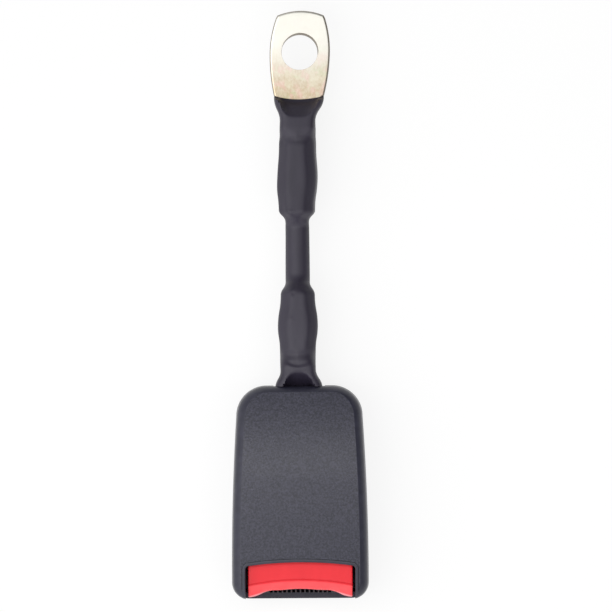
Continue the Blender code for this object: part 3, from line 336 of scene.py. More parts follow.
cover_grained = finish(
    "cover_grained",
    Base_Color=lambda nodes: nodes.mix(nodes.fade(grain(nodes), 0.36, 0.64), COVER_BLUE, COVER_PALE),
    Roughness=lambda nodes: 0.30 + 0.12 * nodes.speckle(0.004),
    Normal=lambda nodes: nodes.bump(grain(nodes), GRAIN_DEPTH),
)
cover_smooth = plastic("cover_smooth", COVER_BLUE, COVER_PALE, 0.003, 0.36, 0.1, 0.0006, 0.000006)
INSERT_DARK, INSERT_LIGHT = (0.020, 0.020, 0.024), (0.040, 0.038, 0.044)
insert_black = plastic("insert_black", INSERT_DARK, INSERT_LIGHT, 0.0008, 0.40, 0.15, 0.0005, 0.00001)
SLIDER_DARK, SLIDER_LIGHT = (0.70, 0.69, 0.64), (0.80, 0.79, 0.75)
slider_white = plastic("slider_white", SLIDER_DARK, SLIDER_LIGHT, 0.004, 0.40, 0.12, 0.0009, 0.000006)
sleeve_black = finish(
    "sleeve_black",
    Base_Color=lambda nodes: nodes.mix(
        nodes.speckle(0.004, stretch=(1, 0.25, 1), detail=3), (0.016, 0.013, 0.025), (0.027, 0.022, 0.040)
    ),
    Roughness=lambda nodes: 0.44 + 0.14 * nodes.speckle(0.003, stretch=(1, 0.3, 1), detail=3),
    Normal=lambda nodes: nodes.bump(
        nodes.speckle(0.0005, stretch=(1, 0.35, 1), detail=3),
        0.00001,
        nodes.bump(nodes.speckle(0.005, stretch=(1, 0.3, 1)), 0.00008),
    ),
)
print("Plastics:", cover_grained.name, cover_smooth.name, insert_black.name, sleeve_black.name)

# %% [markdown]
# Metals. The anchor plate is zinc plated and yellow passivated: the thin film shimmers from cream through
# tan to pink and green, in clouds of a few millimetres, and it is palest towards the tip. The inner steel
# parts are stamped, so fine lines run along them. All are fully metallic, and their colour is what they
# do to the light.

# %% Metals
PLATE_LOW, PLATE_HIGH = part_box("anchor_plate")


def passivated(nodes):
    """Cream, tan, pink and green clouds, paler towards the plate's tip."""
    cream, tan = (0.72, 0.64, 0.46), (0.60, 0.47, 0.30)
    pink, green = (0.74, 0.48, 0.39), (0.56, 0.56, 0.32)
    clouds = nodes.fade(nodes.speckle(0.0045, detail=3, roughness=0.6), 0.35, 0.65)
    blush = nodes.fade(nodes.speckle(0.0034, stretch=(1.2, 0.9, 1), detail=4), 0.47, 0.62)
    moss = nodes.fade(nodes.speckle(0.0052, stretch=(0.8, 1.3, 1), detail=4), 0.52, 0.66)
    film = nodes.mix(clouds, tan, cream)
    film = nodes.mix(0.75 * blush, film, pink)
    film = nodes.mix(0.7 * moss, film, green)
    dust = nodes.fade(nodes.speckle(0.0009, (1.3, 0.7, 1), 4, 0.7), 0.38, 0.66)
    film = nodes.mix(0.3 * dust, film, (0.93, 0.88, 0.78))
    tip = PLATE_HIGH[1]
    paler = nodes.fade(nodes.along("Y") + 0.008 * nodes.speckle(0.006), tip - 0.027, tip - 0.004)
    return nodes.mix(0.9 * paler, film, (0.96, 0.95, 0.88))


def scratched(nodes):
    marks = nodes.speckle(0.0011, stretch=(1, 0.12, 1), detail=4)
    return nodes.bump(marks, 0.000008, nodes.bump(nodes.speckle(0.006, detail=3), 0.00003))


def metal(name, dark, bright, roughness, stretch=(1, 1, 1), line=0.0006):
    """A plain metal with fine lines or spots in its colour, gloss and relief."""
    return finish(
        name,
        Base_Color=lambda nodes: nodes.mix(nodes.speckle(0.003, stretch, 3), dark, bright),
        Metallic=1.0,
        Roughness=lambda nodes: roughness + 0.15 * nodes.speckle(line, stretch, 3),
        Normal=lambda nodes: nodes.bump(nodes.speckle(line, stretch, 3), 0.000006),
    )


zinc_yellow = finish(
    "zinc_yellow",
    Base_Color=passivated,
    Metallic=1.0,
    Roughness=lambda nodes: 0.27 + 0.16 * nodes.speckle(0.002, detail=4),
    Normal=scratched,
)
# Dark bare steel, used as painted shade on the plate's edge faces that turn away from the light.
cut_steel_painted_shade = metal("cut_steel_painted_shade", (0.24, 0.21, 0.17), (0.36, 0.32, 0.27), 0.4, (1, 1, 0.1), 0.0004)
sheet_steel = metal("sheet_steel", (0.50, 0.50, 0.51), (0.62, 0.62, 0.63), 0.28, (1, 0.08, 1))
pin_steel = metal("pin_steel", (0.62, 0.62, 0.64), (0.74, 0.74, 0.76), 0.18, (0.1, 1, 1))
spring_steel = metal("spring_steel", (0.38, 0.39, 0.41), (0.52, 0.53, 0.55), 0.25, line=0.0003)
ferrule_alloy = metal("ferrule_alloy", (0.50, 0.50, 0.51), (0.66, 0.66, 0.67), 0.35, line=0.0008)
rope_steel = metal("rope_steel", (0.48, 0.49, 0.50), (0.66, 0.67, 0.68), 0.25, (1, 0.4, 1), 0.0005)
print("Metals:", zinc_yellow.name, sheet_steel.name, rope_steel.name)

# %% [markdown]
# Drawing helpers, one for each kind of thing that the pieces share: a ring-by-ring skin, a flat outline
# given depth, a box, a round bar, and a Boolean that keeps its result as a plain mesh. All rings of a skin
# have equally many points, so that neighbours join without a twist.


# %% Drawing helpers
def helper(name, shape):
    """A mesh object that is carved, joined or dressed later. Its Y is counted from the mouth."""
    bmesh.ops.remove_doubles(shape, verts=shape.verts, dist=1e-7)
    bmesh.ops.recalc_face_normals(shape, faces=shape.faces)
    mesh = bpy.data.meshes.new(name)
    shape.to_mesh(mesh)
    shape.free()
    return stand(name, mesh)


def loft(name, rings, capped=True, grained=()):
    """A skin through the rings; the strips after the grained ring numbers get the second finish."""
    shape = bmesh.new()
    rows = [[shape.verts.new(point) for point in ring] for ring in rings]
    for number, (near, far) in enumerate(zip(rows, rows[1:])):
        for i in range(len(near)):
            j = (i + 1) % len(near)
            face = shape.faces.new((near[i], near[j], far[j], far[i]))
            face.material_index = int(number in grained)
    if capped:
        shape.faces.new(rows[0])
        face = shape.faces.new(rows[-1])
        face.material_index = int(len(rows) - 1 in grained)
    return helper(name, shape)


def box(name, low, high):
    shape = bmesh.new()
    bmesh.ops.create_cube(shape, size=1)
    low, high = Vector(low), Vector(high)
    bmesh.ops.scale(shape, vec=high - low, verts=shape.verts)
    bmesh.ops.translate(shape, vec=(low + high) / 2, verts=shape.verts)
    return helper(name, shape)


def wide_box(name, reach, y, z):
    """A box that reaches equally far to both sides, between two places in Y and two heights."""
    return box(name, (-reach, y[0], z[0]), (reach, y[1], z[1]))


def bar(name, centre, radius, length):
    """A round bar along Y."""
    shape = bmesh.new()
    bmesh.ops.create_cone(shape, cap_ends=True, segments=20, radius1=radius, radius2=radius, depth=length)
    turned = Matrix.Translation(centre) @ Matrix.Rotation(math.pi / 2, 4, "X")
    bmesh.ops.transform(shape, matrix=turned, verts=shape.verts)
    return helper(name, shape)


def arc(centre, radius, start, end, steps):
    """Points on an arc, angles in degrees."""
    angles = [math.radians(start + (end - start) * i / steps) for i in range(steps + 1)]
    return [(centre[0] + radius * math.cos(a), centre[1] + radius * math.sin(a)) for a in angles]


def mirrored(right):
    """Closes an outline from its right half, which runs from its lowest to its highest point."""
    return right + [(-x, y) for x, y in reversed(right) if x > 1e-9]


def prism(name, axis, low, high, outline):
    """An outline given depth: in (y, z) along X, in (x, y) along Z."""
    place = {"X": lambda u, v, d: (d, u, v), "Z": lambda u, v, d: (u, v, d)}[axis]
    return loft(name, [[place(u, v, depth) for u, v in outline] for depth in (low, high)])


def worked_out(drawn):
    """The plain mesh that a curve or a stack of modifiers comes to."""
    bpy.context.view_layer.update()
    return bpy.data.meshes.new_from_object(drawn.evaluated_get(bpy.context.evaluated_depsgraph_get()))


def carve(base, cuts=(), joins=()):
    """The base with some helpers joined to it and others cut out, kept as a plain mesh."""
    for others, operation in ((joins, "UNION"), (cuts, "DIFFERENCE")):
        for other in others:
            step = base.modifiers.new(other.name, "BOOLEAN")
            step.operation = operation
            step.object = other
    base.data = worked_out(base)
    base.modifiers.clear()
    for other in [*cuts, *joins]:
        bpy.data.objects.remove(other)
    return base


def flatten(piece):
    """Keeps the flat faces flat to the eye beside rounded edges."""
    flat = piece.modifiers.new("flat", "WEIGHTED_NORMAL")
    flat.keep_sharp = True


def soften(piece, width):
    """Rounds the sharp edges."""
    edge = piece.modifiers.new("edge", "BEVEL")
    edge.width = width
    edge.segments = 2
    edge.limit_method = "ANGLE"
    edge.angle_limit = math.radians(50)
    edge.harden_normals = False
    flatten(piece)


def dress(piece, name, finishes, node, sharp=35, body="housing"):
    """Names a helper as a piece of the model and puts it in place of the part's own node."""
    piece.name = name
    piece.data.name = name
    piece.data.transform(Matrix.Translation((0, MOUTH, 0)))
    for used in finishes:
        piece.data.materials.append(used)
    piece.data.shade_smooth()
    piece.data.set_sharp_from_angle(angle=math.radians(sharp))
    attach(piece, body)
    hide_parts(node)
    print(f"{name}: {len(piece.data.polygons)} faces, in place of {node}")
    return piece


print("Drawing helpers ready")

# %% [markdown]
# The housing's form. Both covers share one outline: nearly straight sides that draw in a little towards
# the stalk, small corners at the mouth and large ones at the stalk. The top rises to a soft crest and falls
# away towards the stalk. A skin through rings, each a little further in, gives the rounded edge without
# a bevel's uncertainties. The top face ends in a crease; from there a slope leads into a rounding that is
# squarer than a circle. The slope mirrors the dark side of the tent, and the wall below shows as a thin
# bright rim.

# %% The housing's outline and top
SIDE_TAPER = 0.0018
TAPER_START = 0.008
MOUTH_CORNER = 0.006
STALK_CORNER = 0.0105
CREST_HEIGHT = 0.025
STALK_DROP = 0.0045
MOUTH_DROP = 0.0015
CROWN = 0.0008
TOP_ROUND = 0.0036
BASE_ROUND = 0.003
DRAFT = 0.0005
FRONT_DRAFT = 0.0004
SHOULDER_WIDTH = 0.0026
STALK_SQUEEZE = 0.35
SHOULDER_POWER = 2.6
CREASE_DROP = 0.0014


def side_half_width(y):
    end = HOUSING_LENGTH - STALK_CORNER
    return HALF_WIDTH - SIDE_TAPER * (max(0, y - TAPER_START) / (end - TAPER_START)) ** 2


def cover_outline(inset):
    """The covers' plan outline, moved inwards, with the same number of points at every inset."""
    mouth_x = HALF_WIDTH - MOUTH_CORNER
    stalk_y = HOUSING_LENGTH - STALK_CORNER
    stalk_x = side_half_width(stalk_y) - STALK_CORNER
    right = [(mouth_x * i / 12, inset) for i in range(12)]
    right += arc((mouth_x, MOUTH_CORNER), MOUTH_CORNER - inset, -90, 0, 14)
    for i in range(1, 48):
        y = MOUTH_CORNER + (stalk_y - MOUTH_CORNER) * i / 48
        right.append((side_half_width(y) - inset, y))
    right += arc((stalk_x, stalk_y), STALK_CORNER - inset, 0, 90, 18)
    right += [(stalk_x * (1 - i / 8), HOUSING_LENGTH - inset) for i in range(1, 9)]
    return mirrored(right)


def level(outline, z):
    """An outline as a ring at one height."""
    return [(x, y, z) for x, y in outline]


def cover_top(x, y):
    """Height of the front cover's outer face."""
    run = y - CREST_Y
    if run > 0:
        drop = STALK_DROP * (run / (HOUSING_LENGTH - CREST_Y)) ** 2
    else:
        drop = MOUTH_DROP * -run / CREST_Y
    return CREST_HEIGHT - drop - CROWN * (x / HALF_WIDTH) ** 2


def ease(t, bend=0.5):
    """Runs from 0 to 1, straight in the middle and curved over this share at either end."""
    t = min(max(t, 0), 1)
    if t < bend:
        return t * t / (2 * bend * (1 - bend))
    if t > 1 - bend:
        return 1 - (1 - t) ** 2 / (2 * bend * (1 - bend))
    return (t - bend / 2) / (1 - bend)


def glide(y, stations):
    """A value that moves from station to station: each is a place, a value and perhaps a bend."""
    if y <= stations[0][0]:
        return stations[0][1]
    for (start, before, *_), (end, after, *bend) in zip(stations, stations[1:]):
        if y <= end:
            return before + (after - before) * ease((y - start) / (end - start), *bend)
    return stations[-1][1]


def quarter(radius, steps):
    """How far each step of a rounded edge lies inwards, and how far from the face."""
    for i in range(steps + 1):
        angle = math.pi / 2 * i / steps
        yield radius * (1 - math.cos(angle)), radius * (1 - math.sin(angle))


def shoulder_drop(inset):
    """How far the rounded edge lies below the top face, this far in from the outline."""
    out = min(1 - (inset - FRONT_DRAFT) / SHOULDER_WIDTH, 1)
    if out <= 0:
        return 0
    rounded = 1 - (1 - out**SHOULDER_POWER) ** (1 / SHOULDER_POWER)
    return CREASE_DROP * out + (TOP_ROUND - CREASE_DROP) * rounded


def shoulder_outline(inset):
    """The outline of a shoulder ring: at the stalk end the shoulder is narrower than at the sides."""
    bend = HOUSING_LENGTH - STALK_CORNER
    ring = []
    for x, y in cover_outline(inset):
        share = ease((y - bend) / STALK_CORNER)
        ring.append((x, y + STALK_SQUEEZE * inset * share))
    return ring


def roof(inset, lower, shares, outline=cover_outline):
    """Rings that climb from a rounded edge to the spine of the top face."""
    edge = outline(inset)
    first, last = HALF_WIDTH, HOUSING_LENGTH - HALF_WIDTH
    rings = []
    for share in shares:
        ring = []
        for x, y in edge:
            along = y + (min(max(y, first), last) - y) * share
            across = x * (1 - share)
            ring.append((across, along, cover_top(across, along) - lower))
        rings.append(ring)
    return rings


print("Top of the cover at the crest:", round(1000 * cover_top(0, CREST_Y), 2), "mm")

# %% [markdown]
# The notch for the button is cut out of the finished skin, and so is a shallow rebate round it. A smooth
# raised strip lies in the rebate with a hair of space beside it, which reads as the fine dark line that
# such a moulding has. Both follow the same path, drawn at different distances from the notch.

# %% The notch and the strip round it
BUTTON_HALF_WIDTH = 0.018
BUTTON_SIDE_GAP = 0.0009
NOTCH_DEPTH = 0.0131
NOTCH_ARC = 0.0012
NOTCH_CORNER = 0.0012
STRIP_WIDTH = 0.0011
GROOVE = 0.00018
LINING_START = 0.001
REBATE = 0.00055


def notch_path(out, start=-WALL):
    """The notch's edge from its right end at the mouth round to its left end, moved outwards."""
    half = BUTTON_HALF_WIDTH + BUTTON_SIDE_GAP
    corner_y = NOTCH_DEPTH - NOTCH_ARC - NOTCH_CORNER
    right = [(half + out, start + (corner_y - start) * (i / 24) ** 1.5) for i in range(24)]
    right += arc((half - NOTCH_CORNER, corner_y), NOTCH_CORNER + out, 0, 80, 8)
    inner = half - NOTCH_CORNER
    for i in range(24, 0, -1):
        x = inner * i / 24 * (1 - 0.02 * i / 24)
        right.append((x, NOTCH_DEPTH + out - NOTCH_ARC * (x / inner) ** 2))
    return right + [(0, NOTCH_DEPTH + out)] + [(-x, y) for x, y in reversed(right)]


def along_notch(name, section, start=-WALL):
    """Sweeps a section, given as distances outwards and above the cover's face, along the notch."""
    paths = [notch_path(out, start) for out, _ in section]
    rings = []
    for number in range(len(paths[0])):
        ring = []
        for path, (_, rise) in zip(paths, section):
            x, y = path[number]
            ring.append((x, y, cover_top(x, max(y, 0)) - shoulder_drop(max(y, 0)) + rise))
        rings.append(ring)
    return loft(name, rings)


print("Notch path has", len(notch_path(0)), "points")

# %% [markdown]
# The front cover is a thin moulded shell. Its rings start at the inner spine of the top, run down the
# inside, round the foot and up the outside, and end at the outer spine, so that inside and outside are one
# closed skin with a wall between them. Then it is carved: a pad inside for the latch's spring, the cuts for
# button, stalk and rebate, and the strip round the notch. The pieces overlap by a hair, because a Boolean
# can fail on faces that only touch.

# %% Front cover
COVER_SHARES = [0.006, 0.04, 0.1, 0.2, 0.35, 0.5, 0.65, 0.8, 0.92, 1.0]
SHOULDER_SHARES = [0, 0.015, 0.04, 0.08, 0.14, 0.21, 0.3, 0.4, 0.52, 0.66, 0.82, 0.96, 1]
FOOT_BEVEL = 0.0001
OVERLAP = 0.00002
LINING_ROUND = 0.00028
STALK_HALF_OPENING = 0.0089
STALK_OPENING_RISE = 0.0038
PAD_HALF_WIDTH = 0.006
bridge_low, bridge_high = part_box("frame_bridge")


def stalk_opening():
    ends = (HOUSING_LENGTH - 2 * WALL, HOUSING_LENGTH + WALL)
    heights = (PARTING - STALK_OPENING_RISE, PARTING + STALK_OPENING_RISE)
    return wide_box("stalk_opening", STALK_HALF_OPENING, ends, heights)


def make_front_cover():
    foot = PARTING + GAP / 2
    inner_round = TOP_ROUND - WALL
    rings = list(reversed(roof(DRAFT + WALL + inner_round, WALL, COVER_SHARES)))
    for inward, below in reversed(list(quarter(inner_round, 5))):
        outline = cover_outline(DRAFT + WALL + inward)
        rings.append([(x, y, cover_top(x, y) - WALL - below) for x, y in outline])
    rings.append(level(cover_outline(WALL), foot))
    rings.append(level(cover_outline(FOOT_BEVEL), foot))
    rings.append(level(cover_outline(0), foot + FOOT_BEVEL))
    for share in SHOULDER_SHARES:
        inset = FRONT_DRAFT + SHOULDER_WIDTH * share
        outline = shoulder_outline(inset)
        rings.append([(x, y, cover_top(x, y) - shoulder_drop(inset)) for x, y in outline])
    panel = range(len(rings) - 1, len(rings) + len(COVER_SHARES))
    rings += roof(FRONT_DRAFT + SHOULDER_WIDTH, 0, COVER_SHARES, shoulder_outline)
    cover = loft("front", rings, capped=False, grained=panel)
    notch = prism("notch", "Z", PARTING, 2 * CREST_HEIGHT, notch_path(OVERLAP))
    inner, outer, above = -0.0004, STRIP_WIDTH + GROOVE, 0.001
    corners = [(inner, -REBATE), (outer, -REBATE), (outer, above), (inner, above)]
    rebate = along_notch("rebate", corners)
    ends = (bridge_low[1] - MOUTH + WALL, bridge_high[1] - MOUTH - WALL)
    heights = (bridge_high[2] + GAP, cover_top(0, CREST_Y) - WALL * 1.1)
    pad = wide_box("pad", PAD_HALF_WIDTH, ends, heights)
    carve(cover, joins=[pad])
    carve(cover, cuts=[notch, stalk_opening(), rebate])
    edge = LINING_ROUND
    section = [(0, -REBATE + OVERLAP), (0, -edge)]
    section += [(edge * (1 - math.cos(a)), -edge * (1 - math.sin(a))) for a in (0.4, 0.8, 1.2)]
    section += [(edge, 0), (STRIP_WIDTH - edge / 2, 0)]
    section += [(STRIP_WIDTH - edge / 8, -edge / 8), (STRIP_WIDTH, -edge / 2)]
    section += [(STRIP_WIDTH, -REBATE + OVERLAP)]
    return carve(cover, joins=[along_notch("lining", section, LINING_START)])


front = make_front_cover()
dress(front, "front_shell", [cover_smooth, cover_grained], "front_cover")

# %% [markdown]
# The back cover is the plain half: a shallow tray with a flat face to lie on. Inside it carries the ribs
# that the steel frame rests on, the posts that the button's springs push against, and the clips that hold
# the front cover. They are hidden once it is closed, and they are here because the part has them.

# %% Back cover
LIP_HEIGHT = 0.007
RIB_PLACES = (0.020, 0.050)
CLIP_PLACES = (0.019, 0.031)
CLIP_LENGTH = 0.006
CLIP_THICKNESS = 0.0013
CLIP_RISE = 0.003
CLIP_ROOT = 0.004
ROOTED = WALL * 0.8
RIB_HALF_WIDTH = 0.001
SHEET = 0.0025
FRAME_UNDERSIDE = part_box("frame")[0][2]
SPRING_END = span("button_spring_left")[1]
POST = (0.0028, 0.0025, 0.0165)


def both_sides(near, far):
    """A span of X on the right, then the same on the left."""
    return ((1, near, far), (-1, -far, -near))


def make_back_cover():
    top = PARTING - GAP / 2
    rings = []
    inner_round = BASE_ROUND - WALL
    for inward, above in reversed(list(quarter(inner_round, 4))):
        rings.append(level(cover_outline(DRAFT + WALL + inward), WALL + above))
    rings.append(level(cover_outline(WALL), top))
    rings.append(level(cover_outline(FOOT_BEVEL), top))
    rings.append(level(cover_outline(0), top - FOOT_BEVEL))
    outside = len(rings) - 1
    for inward, above in quarter(BASE_ROUND, 10):
        rings.append(level(cover_outline(DRAFT + inward), above))
    cover = loft("back", rings, grained=range(outside, len(rings)))
    half = BUTTON_HALF_WIDTH + BUTTON_SIDE_GAP
    mouth = wide_box("mouth", half, (-WALL, 2 * WALL), (LIP_HEIGHT, 2 * PARTING))
    inside = []
    for y in RIB_PLACES:
        ends = (y - RIB_HALF_WIDTH, y + RIB_HALF_WIDTH)
        inside.append(wide_box("rib", FRAME_HALF_WIDTH - SHEET, ends, (ROOTED, FRAME_UNDERSIDE - GAP)))
    width, length, tall = POST
    for side, near, far in both_sides(ARM_INSIDE, ARM_INSIDE + width):
        start = SPRING_END + GAP
        inside.append(box("post", (near, start, ROOTED), (far, start + length, tall)))
        for y in CLIP_PLACES:
            face = side_half_width(y + CLIP_LENGTH / 2) - DRAFT - WALL
            for name, outer, reach, start_z, end_z in (
                ("foot", face + WALL / 2, CLIP_LENGTH / 2, PARTING - CLIP_ROOT, PARTING - 2 * GAP),
                ("clip", face - GAP, CLIP_LENGTH / 3, PARTING - CLIP_RISE, PARTING + CLIP_RISE),
            ):
                low, high = sorted((side * (face - GAP - CLIP_THICKNESS), side * outer))
                inside.append(box(name, (low, y - reach, start_z), (high, y + reach, end_z)))
    carve(cover, joins=inside)
    return carve(cover, cuts=[stalk_opening(), mouth])


back = make_back_cover()
dress(back, "back_shell", [cover_smooth, cover_grained], "back_cover")

# %% [markdown]
# The press button. Seen from above it is a red bar whose front edge bows inwards, so that the finger
# finds the slot. A low ridge runs across it; in front of the ridge the face turns down steeply. The cap
# is a loft of sections from side to side, each a rounded profile, with the last ones drawn in so that the
# ends are rounded too. Two arms reach back inside the housing to the springs, as on the part. A slanted
# slot in each arm lifts an ear of the latch. Its colour holds painted shade and light: the red is darker
# behind the ridge and lighter in front of it, and a pale painted highlight runs along the front edge of
# the two wings.

# %% Press button
BUTTON_FRONT_Y = 0.00355
FRONT_SWEEP = [(0, BUTTON_FRONT_Y + GAP), (0.5, 0.0034), (1, 0.001)]
RIDGE_Y = 0.0065
RIDGE_SWEEP = 0.0018
RIDGE_RISE = 0.0003
BROW_HEIGHT = 0.0030
RIDGE_RUN = 0.0008
BUTTON_REAR_Y = 0.019
CAP_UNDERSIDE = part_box("tongue_guide")[1][2] + 0.0004
CAP_TOP = cover_top(BUTTON_HALF_WIDTH, NOTCH_DEPTH - NOTCH_ARC) - WALL - GAP
END_ROUND = 0.00045
END_TURNS = (1.5708, 1.15, 0.75, 0.35)
WING_EDGE = (0.0030, 0.30, 0.0125)
FOOT_ROUND = 0.0004
BROW_TURN = ((0, -0.0005), (0.00006, -0.0002), (0.0002, 0.00008))
FACE_SHARES = (0.25, 0.5, 0.75, 0.93)
CAP_WALL = 0.0022
HOLLOW_START = 0.0038
ARM_PAD = (0.0013, 0.0025, 0.002)
ARM_WIDTH = 0.0015
ARM_FRONT = 0.0016
ARM_UNDERSIDE = 0.0095
LATCH_EAR = (0.0315, 0.01365)
LATCH_EAR_RAISED = (0.02626, 0.0169)
EAR_SLOT_RADIUS = 0.00215
PEG_RADIUS = 0.00075
PEG_LENGTH = 0.003


def button_colour(nodes):
    """Red with painted shade behind the ridge and painted light in front of it, and a pale painted highlight
    along the front edge of the two wings.
    """
    # Painted shade and light: the red is darker behind the ridge and lighter in front of it.
    painted_shade_red = nodes.mix(nodes.speckle(0.006, (1, 0.4, 1), 4), (0.70, 0.008, 0.018), (0.86, 0.018, 0.030))
    light = nodes.mix(nodes.speckle(0.004, (1, 0.4, 1), 4), (0.92, 0.045, 0.058), (0.96, 0.085, 0.095))
    across, along, upward = (nodes.along(axis) for axis in "XYZ")
    along = along - MOUTH
    ridge = RIDGE_Y - RIDGE_SWEEP / BUTTON_HALF_WIDTH**2 * (across * across)
    red = nodes.mix(nodes.fade(along - ridge, -0.0001, 0.0002), light, painted_shade_red)
    wing = nodes.math("ABSOLUTE", across)
    start, slope, inner = WING_EDGE
    edge = start - slope * (wing - inner)
    # Painted highlight: the front edge of the two wings is mixed towards pale pink.
    painted_highlight = nodes.fade(along - edge, 0.0001, -0.0003) * nodes.fade(wing, 0.0105, 0.0135)
    brow = CAP_TOP + RIDGE_RISE - BROW_HEIGHT
    painted_highlight = painted_highlight * nodes.fade(upward, brow - 0.0008, brow - 0.0003)
    return nodes.mix(0.55 * painted_highlight, red, (0.80, 0.42, 0.46))


button_red = finish(
    "button_red",
    Base_Color=button_colour,
    Specular_IOR_Level=0.38,
    Roughness=lambda nodes: 0.30 + 0.16 * nodes.speckle(0.003, stretch=(1, 0.5, 1), detail=4),
    Normal=lambda nodes: nodes.bump(nodes.speckle(0.0008, detail=3), 0.000006),
)


def cap_section(x, inset):
    """The cap's outline in Y and Z at this distance from the middle, drawn in by the inset."""
    share = abs(x) / BUTTON_HALF_WIDTH
    front = glide(share, FRONT_SWEEP) + inset
    ridge = RIDGE_Y - RIDGE_SWEEP * share**2
    top = CAP_TOP - inset
    peak = top + RIDGE_RISE
    foot = CAP_UNDERSIDE + inset
    brow = peak - BROW_HEIGHT
    cut = FOOT_ROUND
    points = [(front + cut, foot), (front + cut / 4, foot + cut / 4), (front, foot + cut)]
    points += [(front + out, brow + rise) for out, rise in BROW_TURN]
    out, rise = BROW_TURN[-1]
    for part in FACE_SHARES:
        along = front + out + (ridge - front - 1.5 * out) * part
        points.append((along, brow + rise + (peak - brow - rise) * part))
    points += [(ridge - 0.00004, peak - 0.00006), (ridge + 0.0001, peak)]
    for i in range(1, 9):
        run = i / 8
        points.append((ridge + 0.0003 + RIDGE_RUN * run, top + RIDGE_RISE * (1 - run) ** 2 * (1 + run)))
    points += [(BUTTON_REAR_Y - 0.003, top), (BUTTON_REAR_Y, top), (BUTTON_REAR_Y, foot)]
    return [(x, y, z) for y, z in points]


def cap_stations():
    """Where the sections lie across the cap, and how far each is drawn in."""
    flat = BUTTON_HALF_WIDTH - END_ROUND
    ends = [(flat + END_ROUND * math.sin(a), END_ROUND * (1 - math.cos(a))) for a in END_TURNS]
    middle = [(flat * (1 - i / 20), 0) for i in range(21)]
    right = ends + middle
    return [(-x, inset) for x, inset in right] + [(x, inset) for x, inset in reversed(right[:-1])]


def make_button():
    cap = loft("cap", [cap_section(x, inset) for x, inset in cap_stations()])
    ends = (BUTTON_FRONT_Y + HOLLOW_START, BUTTON_REAR_Y + WALL)
    heights = (CAP_UNDERSIDE - WALL, CAP_TOP - CAP_WALL)
    carve(cap, cuts=[wide_box("hollow", BUTTON_HALF_WIDTH - CAP_WALL, ends, heights)])
    arm_top = CAP_TOP - GAP
    arm_end = span("button_spring_left")[0] - GAP
    outline = [(ARM_FRONT, ARM_UNDERSIDE), (arm_end, ARM_UNDERSIDE), (arm_end, arm_top)]
    outline += [(RIDGE_Y, arm_top), (ARM_FRONT, CAP_UNDERSIDE + 0.001)]
    slot = arc(LATCH_EAR_RAISED, EAR_SLOT_RADIUS, 58, 238, 16) + arc(LATCH_EAR, EAR_SLOT_RADIUS, 238, 418, 16)
    spring_low, spring_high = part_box("button_spring_right")
    spring_x = (spring_low[0] + spring_high[0]) / 2
    spring_z = (spring_low[2] + spring_high[2]) / 2
    wide, long, tall = ARM_PAD
    for side, near, far in both_sides(ARM_INSIDE, ARM_INSIDE + ARM_WIDTH):
        arm = prism("arm", "X", near, far, outline)
        carve(arm, cuts=[prism("slot", "X", near - WALL, far + WALL, slot)])
        low, high = sorted((side * ARM_INSIDE, side * (spring_x + wide)))
        low = (low, arm_end - long, spring_z - tall)
        pad = box("pad", low, (high, arm_end - GAP / 3, spring_z + tall))
        centre = (side * spring_x, arm_end + 0.3 * PEG_LENGTH, spring_z)
        peg = bar("peg", centre, PEG_RADIUS, PEG_LENGTH)
        carve(cap, joins=[arm, pad, peg])
    return cap


button = make_button()
dress(button, "button_cap", [button_red], "press_button", 40, "button")

# %% [markdown]
# The tongue guide is the black insert in the mouth. Its comb of thin teeth shows as a row of dark gaps
# just below the red edge. The gaps are cut from the block in one Boolean with all cutters in one mesh,
# which is quicker than one modifier for each, and a small bevel softens every edge.

# %% Tongue guide
COMB_GAPS = 14
COMB_PITCH = 0.00155
COMB_GAP_WIDTH = 0.00105
COMB_DEPTH = 0.0013
DRAIN_HALF_WIDTH = 0.0125
DRAIN_DEPTH = 0.0017
GUIDE_FRONT = 0.0024
GUIDE_RIM = 0.0012
RECESS = 0.001
SLOT_FLOOR = FRAME_UNDERSIDE + SHEET + GAP
SLOT_ROOF = SLOT_FLOOR + 0.0044
TUNNEL_HALF_WIDTH = FRAME_HALF_WIDTH - SHEET - GAP / 3


def make_guide():
    low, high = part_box("tongue_guide")
    end = span("tongue_guide")[1]
    front, rim = GUIDE_FRONT, GUIDE_RIM
    guide = box("guide", (low[0], front, low[2]), (high[0], end, high[2]))
    before = front - WALL
    recess = wide_box("recess", HALF_WIDTH, (before, front + RECESS), (0, LIP_HEIGHT))
    heights = (SLOT_FLOOR - GAP / 3, SLOT_ROOF + GAP / 3)
    tunnel = wide_box("tunnel", TUNNEL_HALF_WIDTH, (before, end + WALL), heights)
    pockets = []
    for _, near, far in both_sides(rim / 2, high[0] - rim):
        pockets.append(box("pocket", (near, front + RECESS + rim, 0), (far, end - rim, SLOT_FLOOR - rim)))
    heights = (SLOT_FLOOR - 2 * rim, SLOT_FLOOR + GAP)
    drain = wide_box("drain", DRAIN_HALF_WIDTH, (before, front + DRAIN_DEPTH), heights)
    carve(guide, cuts=[recess, tunnel, drain, *pockets])
    comb = bmesh.new()
    for number in range(COMB_GAPS):
        middle = COMB_PITCH * (number - (COMB_GAPS - 1) / 2)
        made = bmesh.ops.create_cube(comb, size=1)["verts"]
        size = (COMB_GAP_WIDTH, WALL + COMB_DEPTH, WALL + high[2] - SLOT_ROOF)
        bmesh.ops.scale(comb, vec=size, verts=made)
        centre = (middle, front + COMB_DEPTH - size[1] / 2, SLOT_ROOF - GAP + size[2] / 2)
        bmesh.ops.translate(comb, vec=centre, verts=made)
    carve(guide, cuts=[helper("comb", comb)])
    soften(guide, 0.00012)
    return guide


guide = make_guide()
dress(guide, "slot_insert", [insert_black], "tongue_guide")
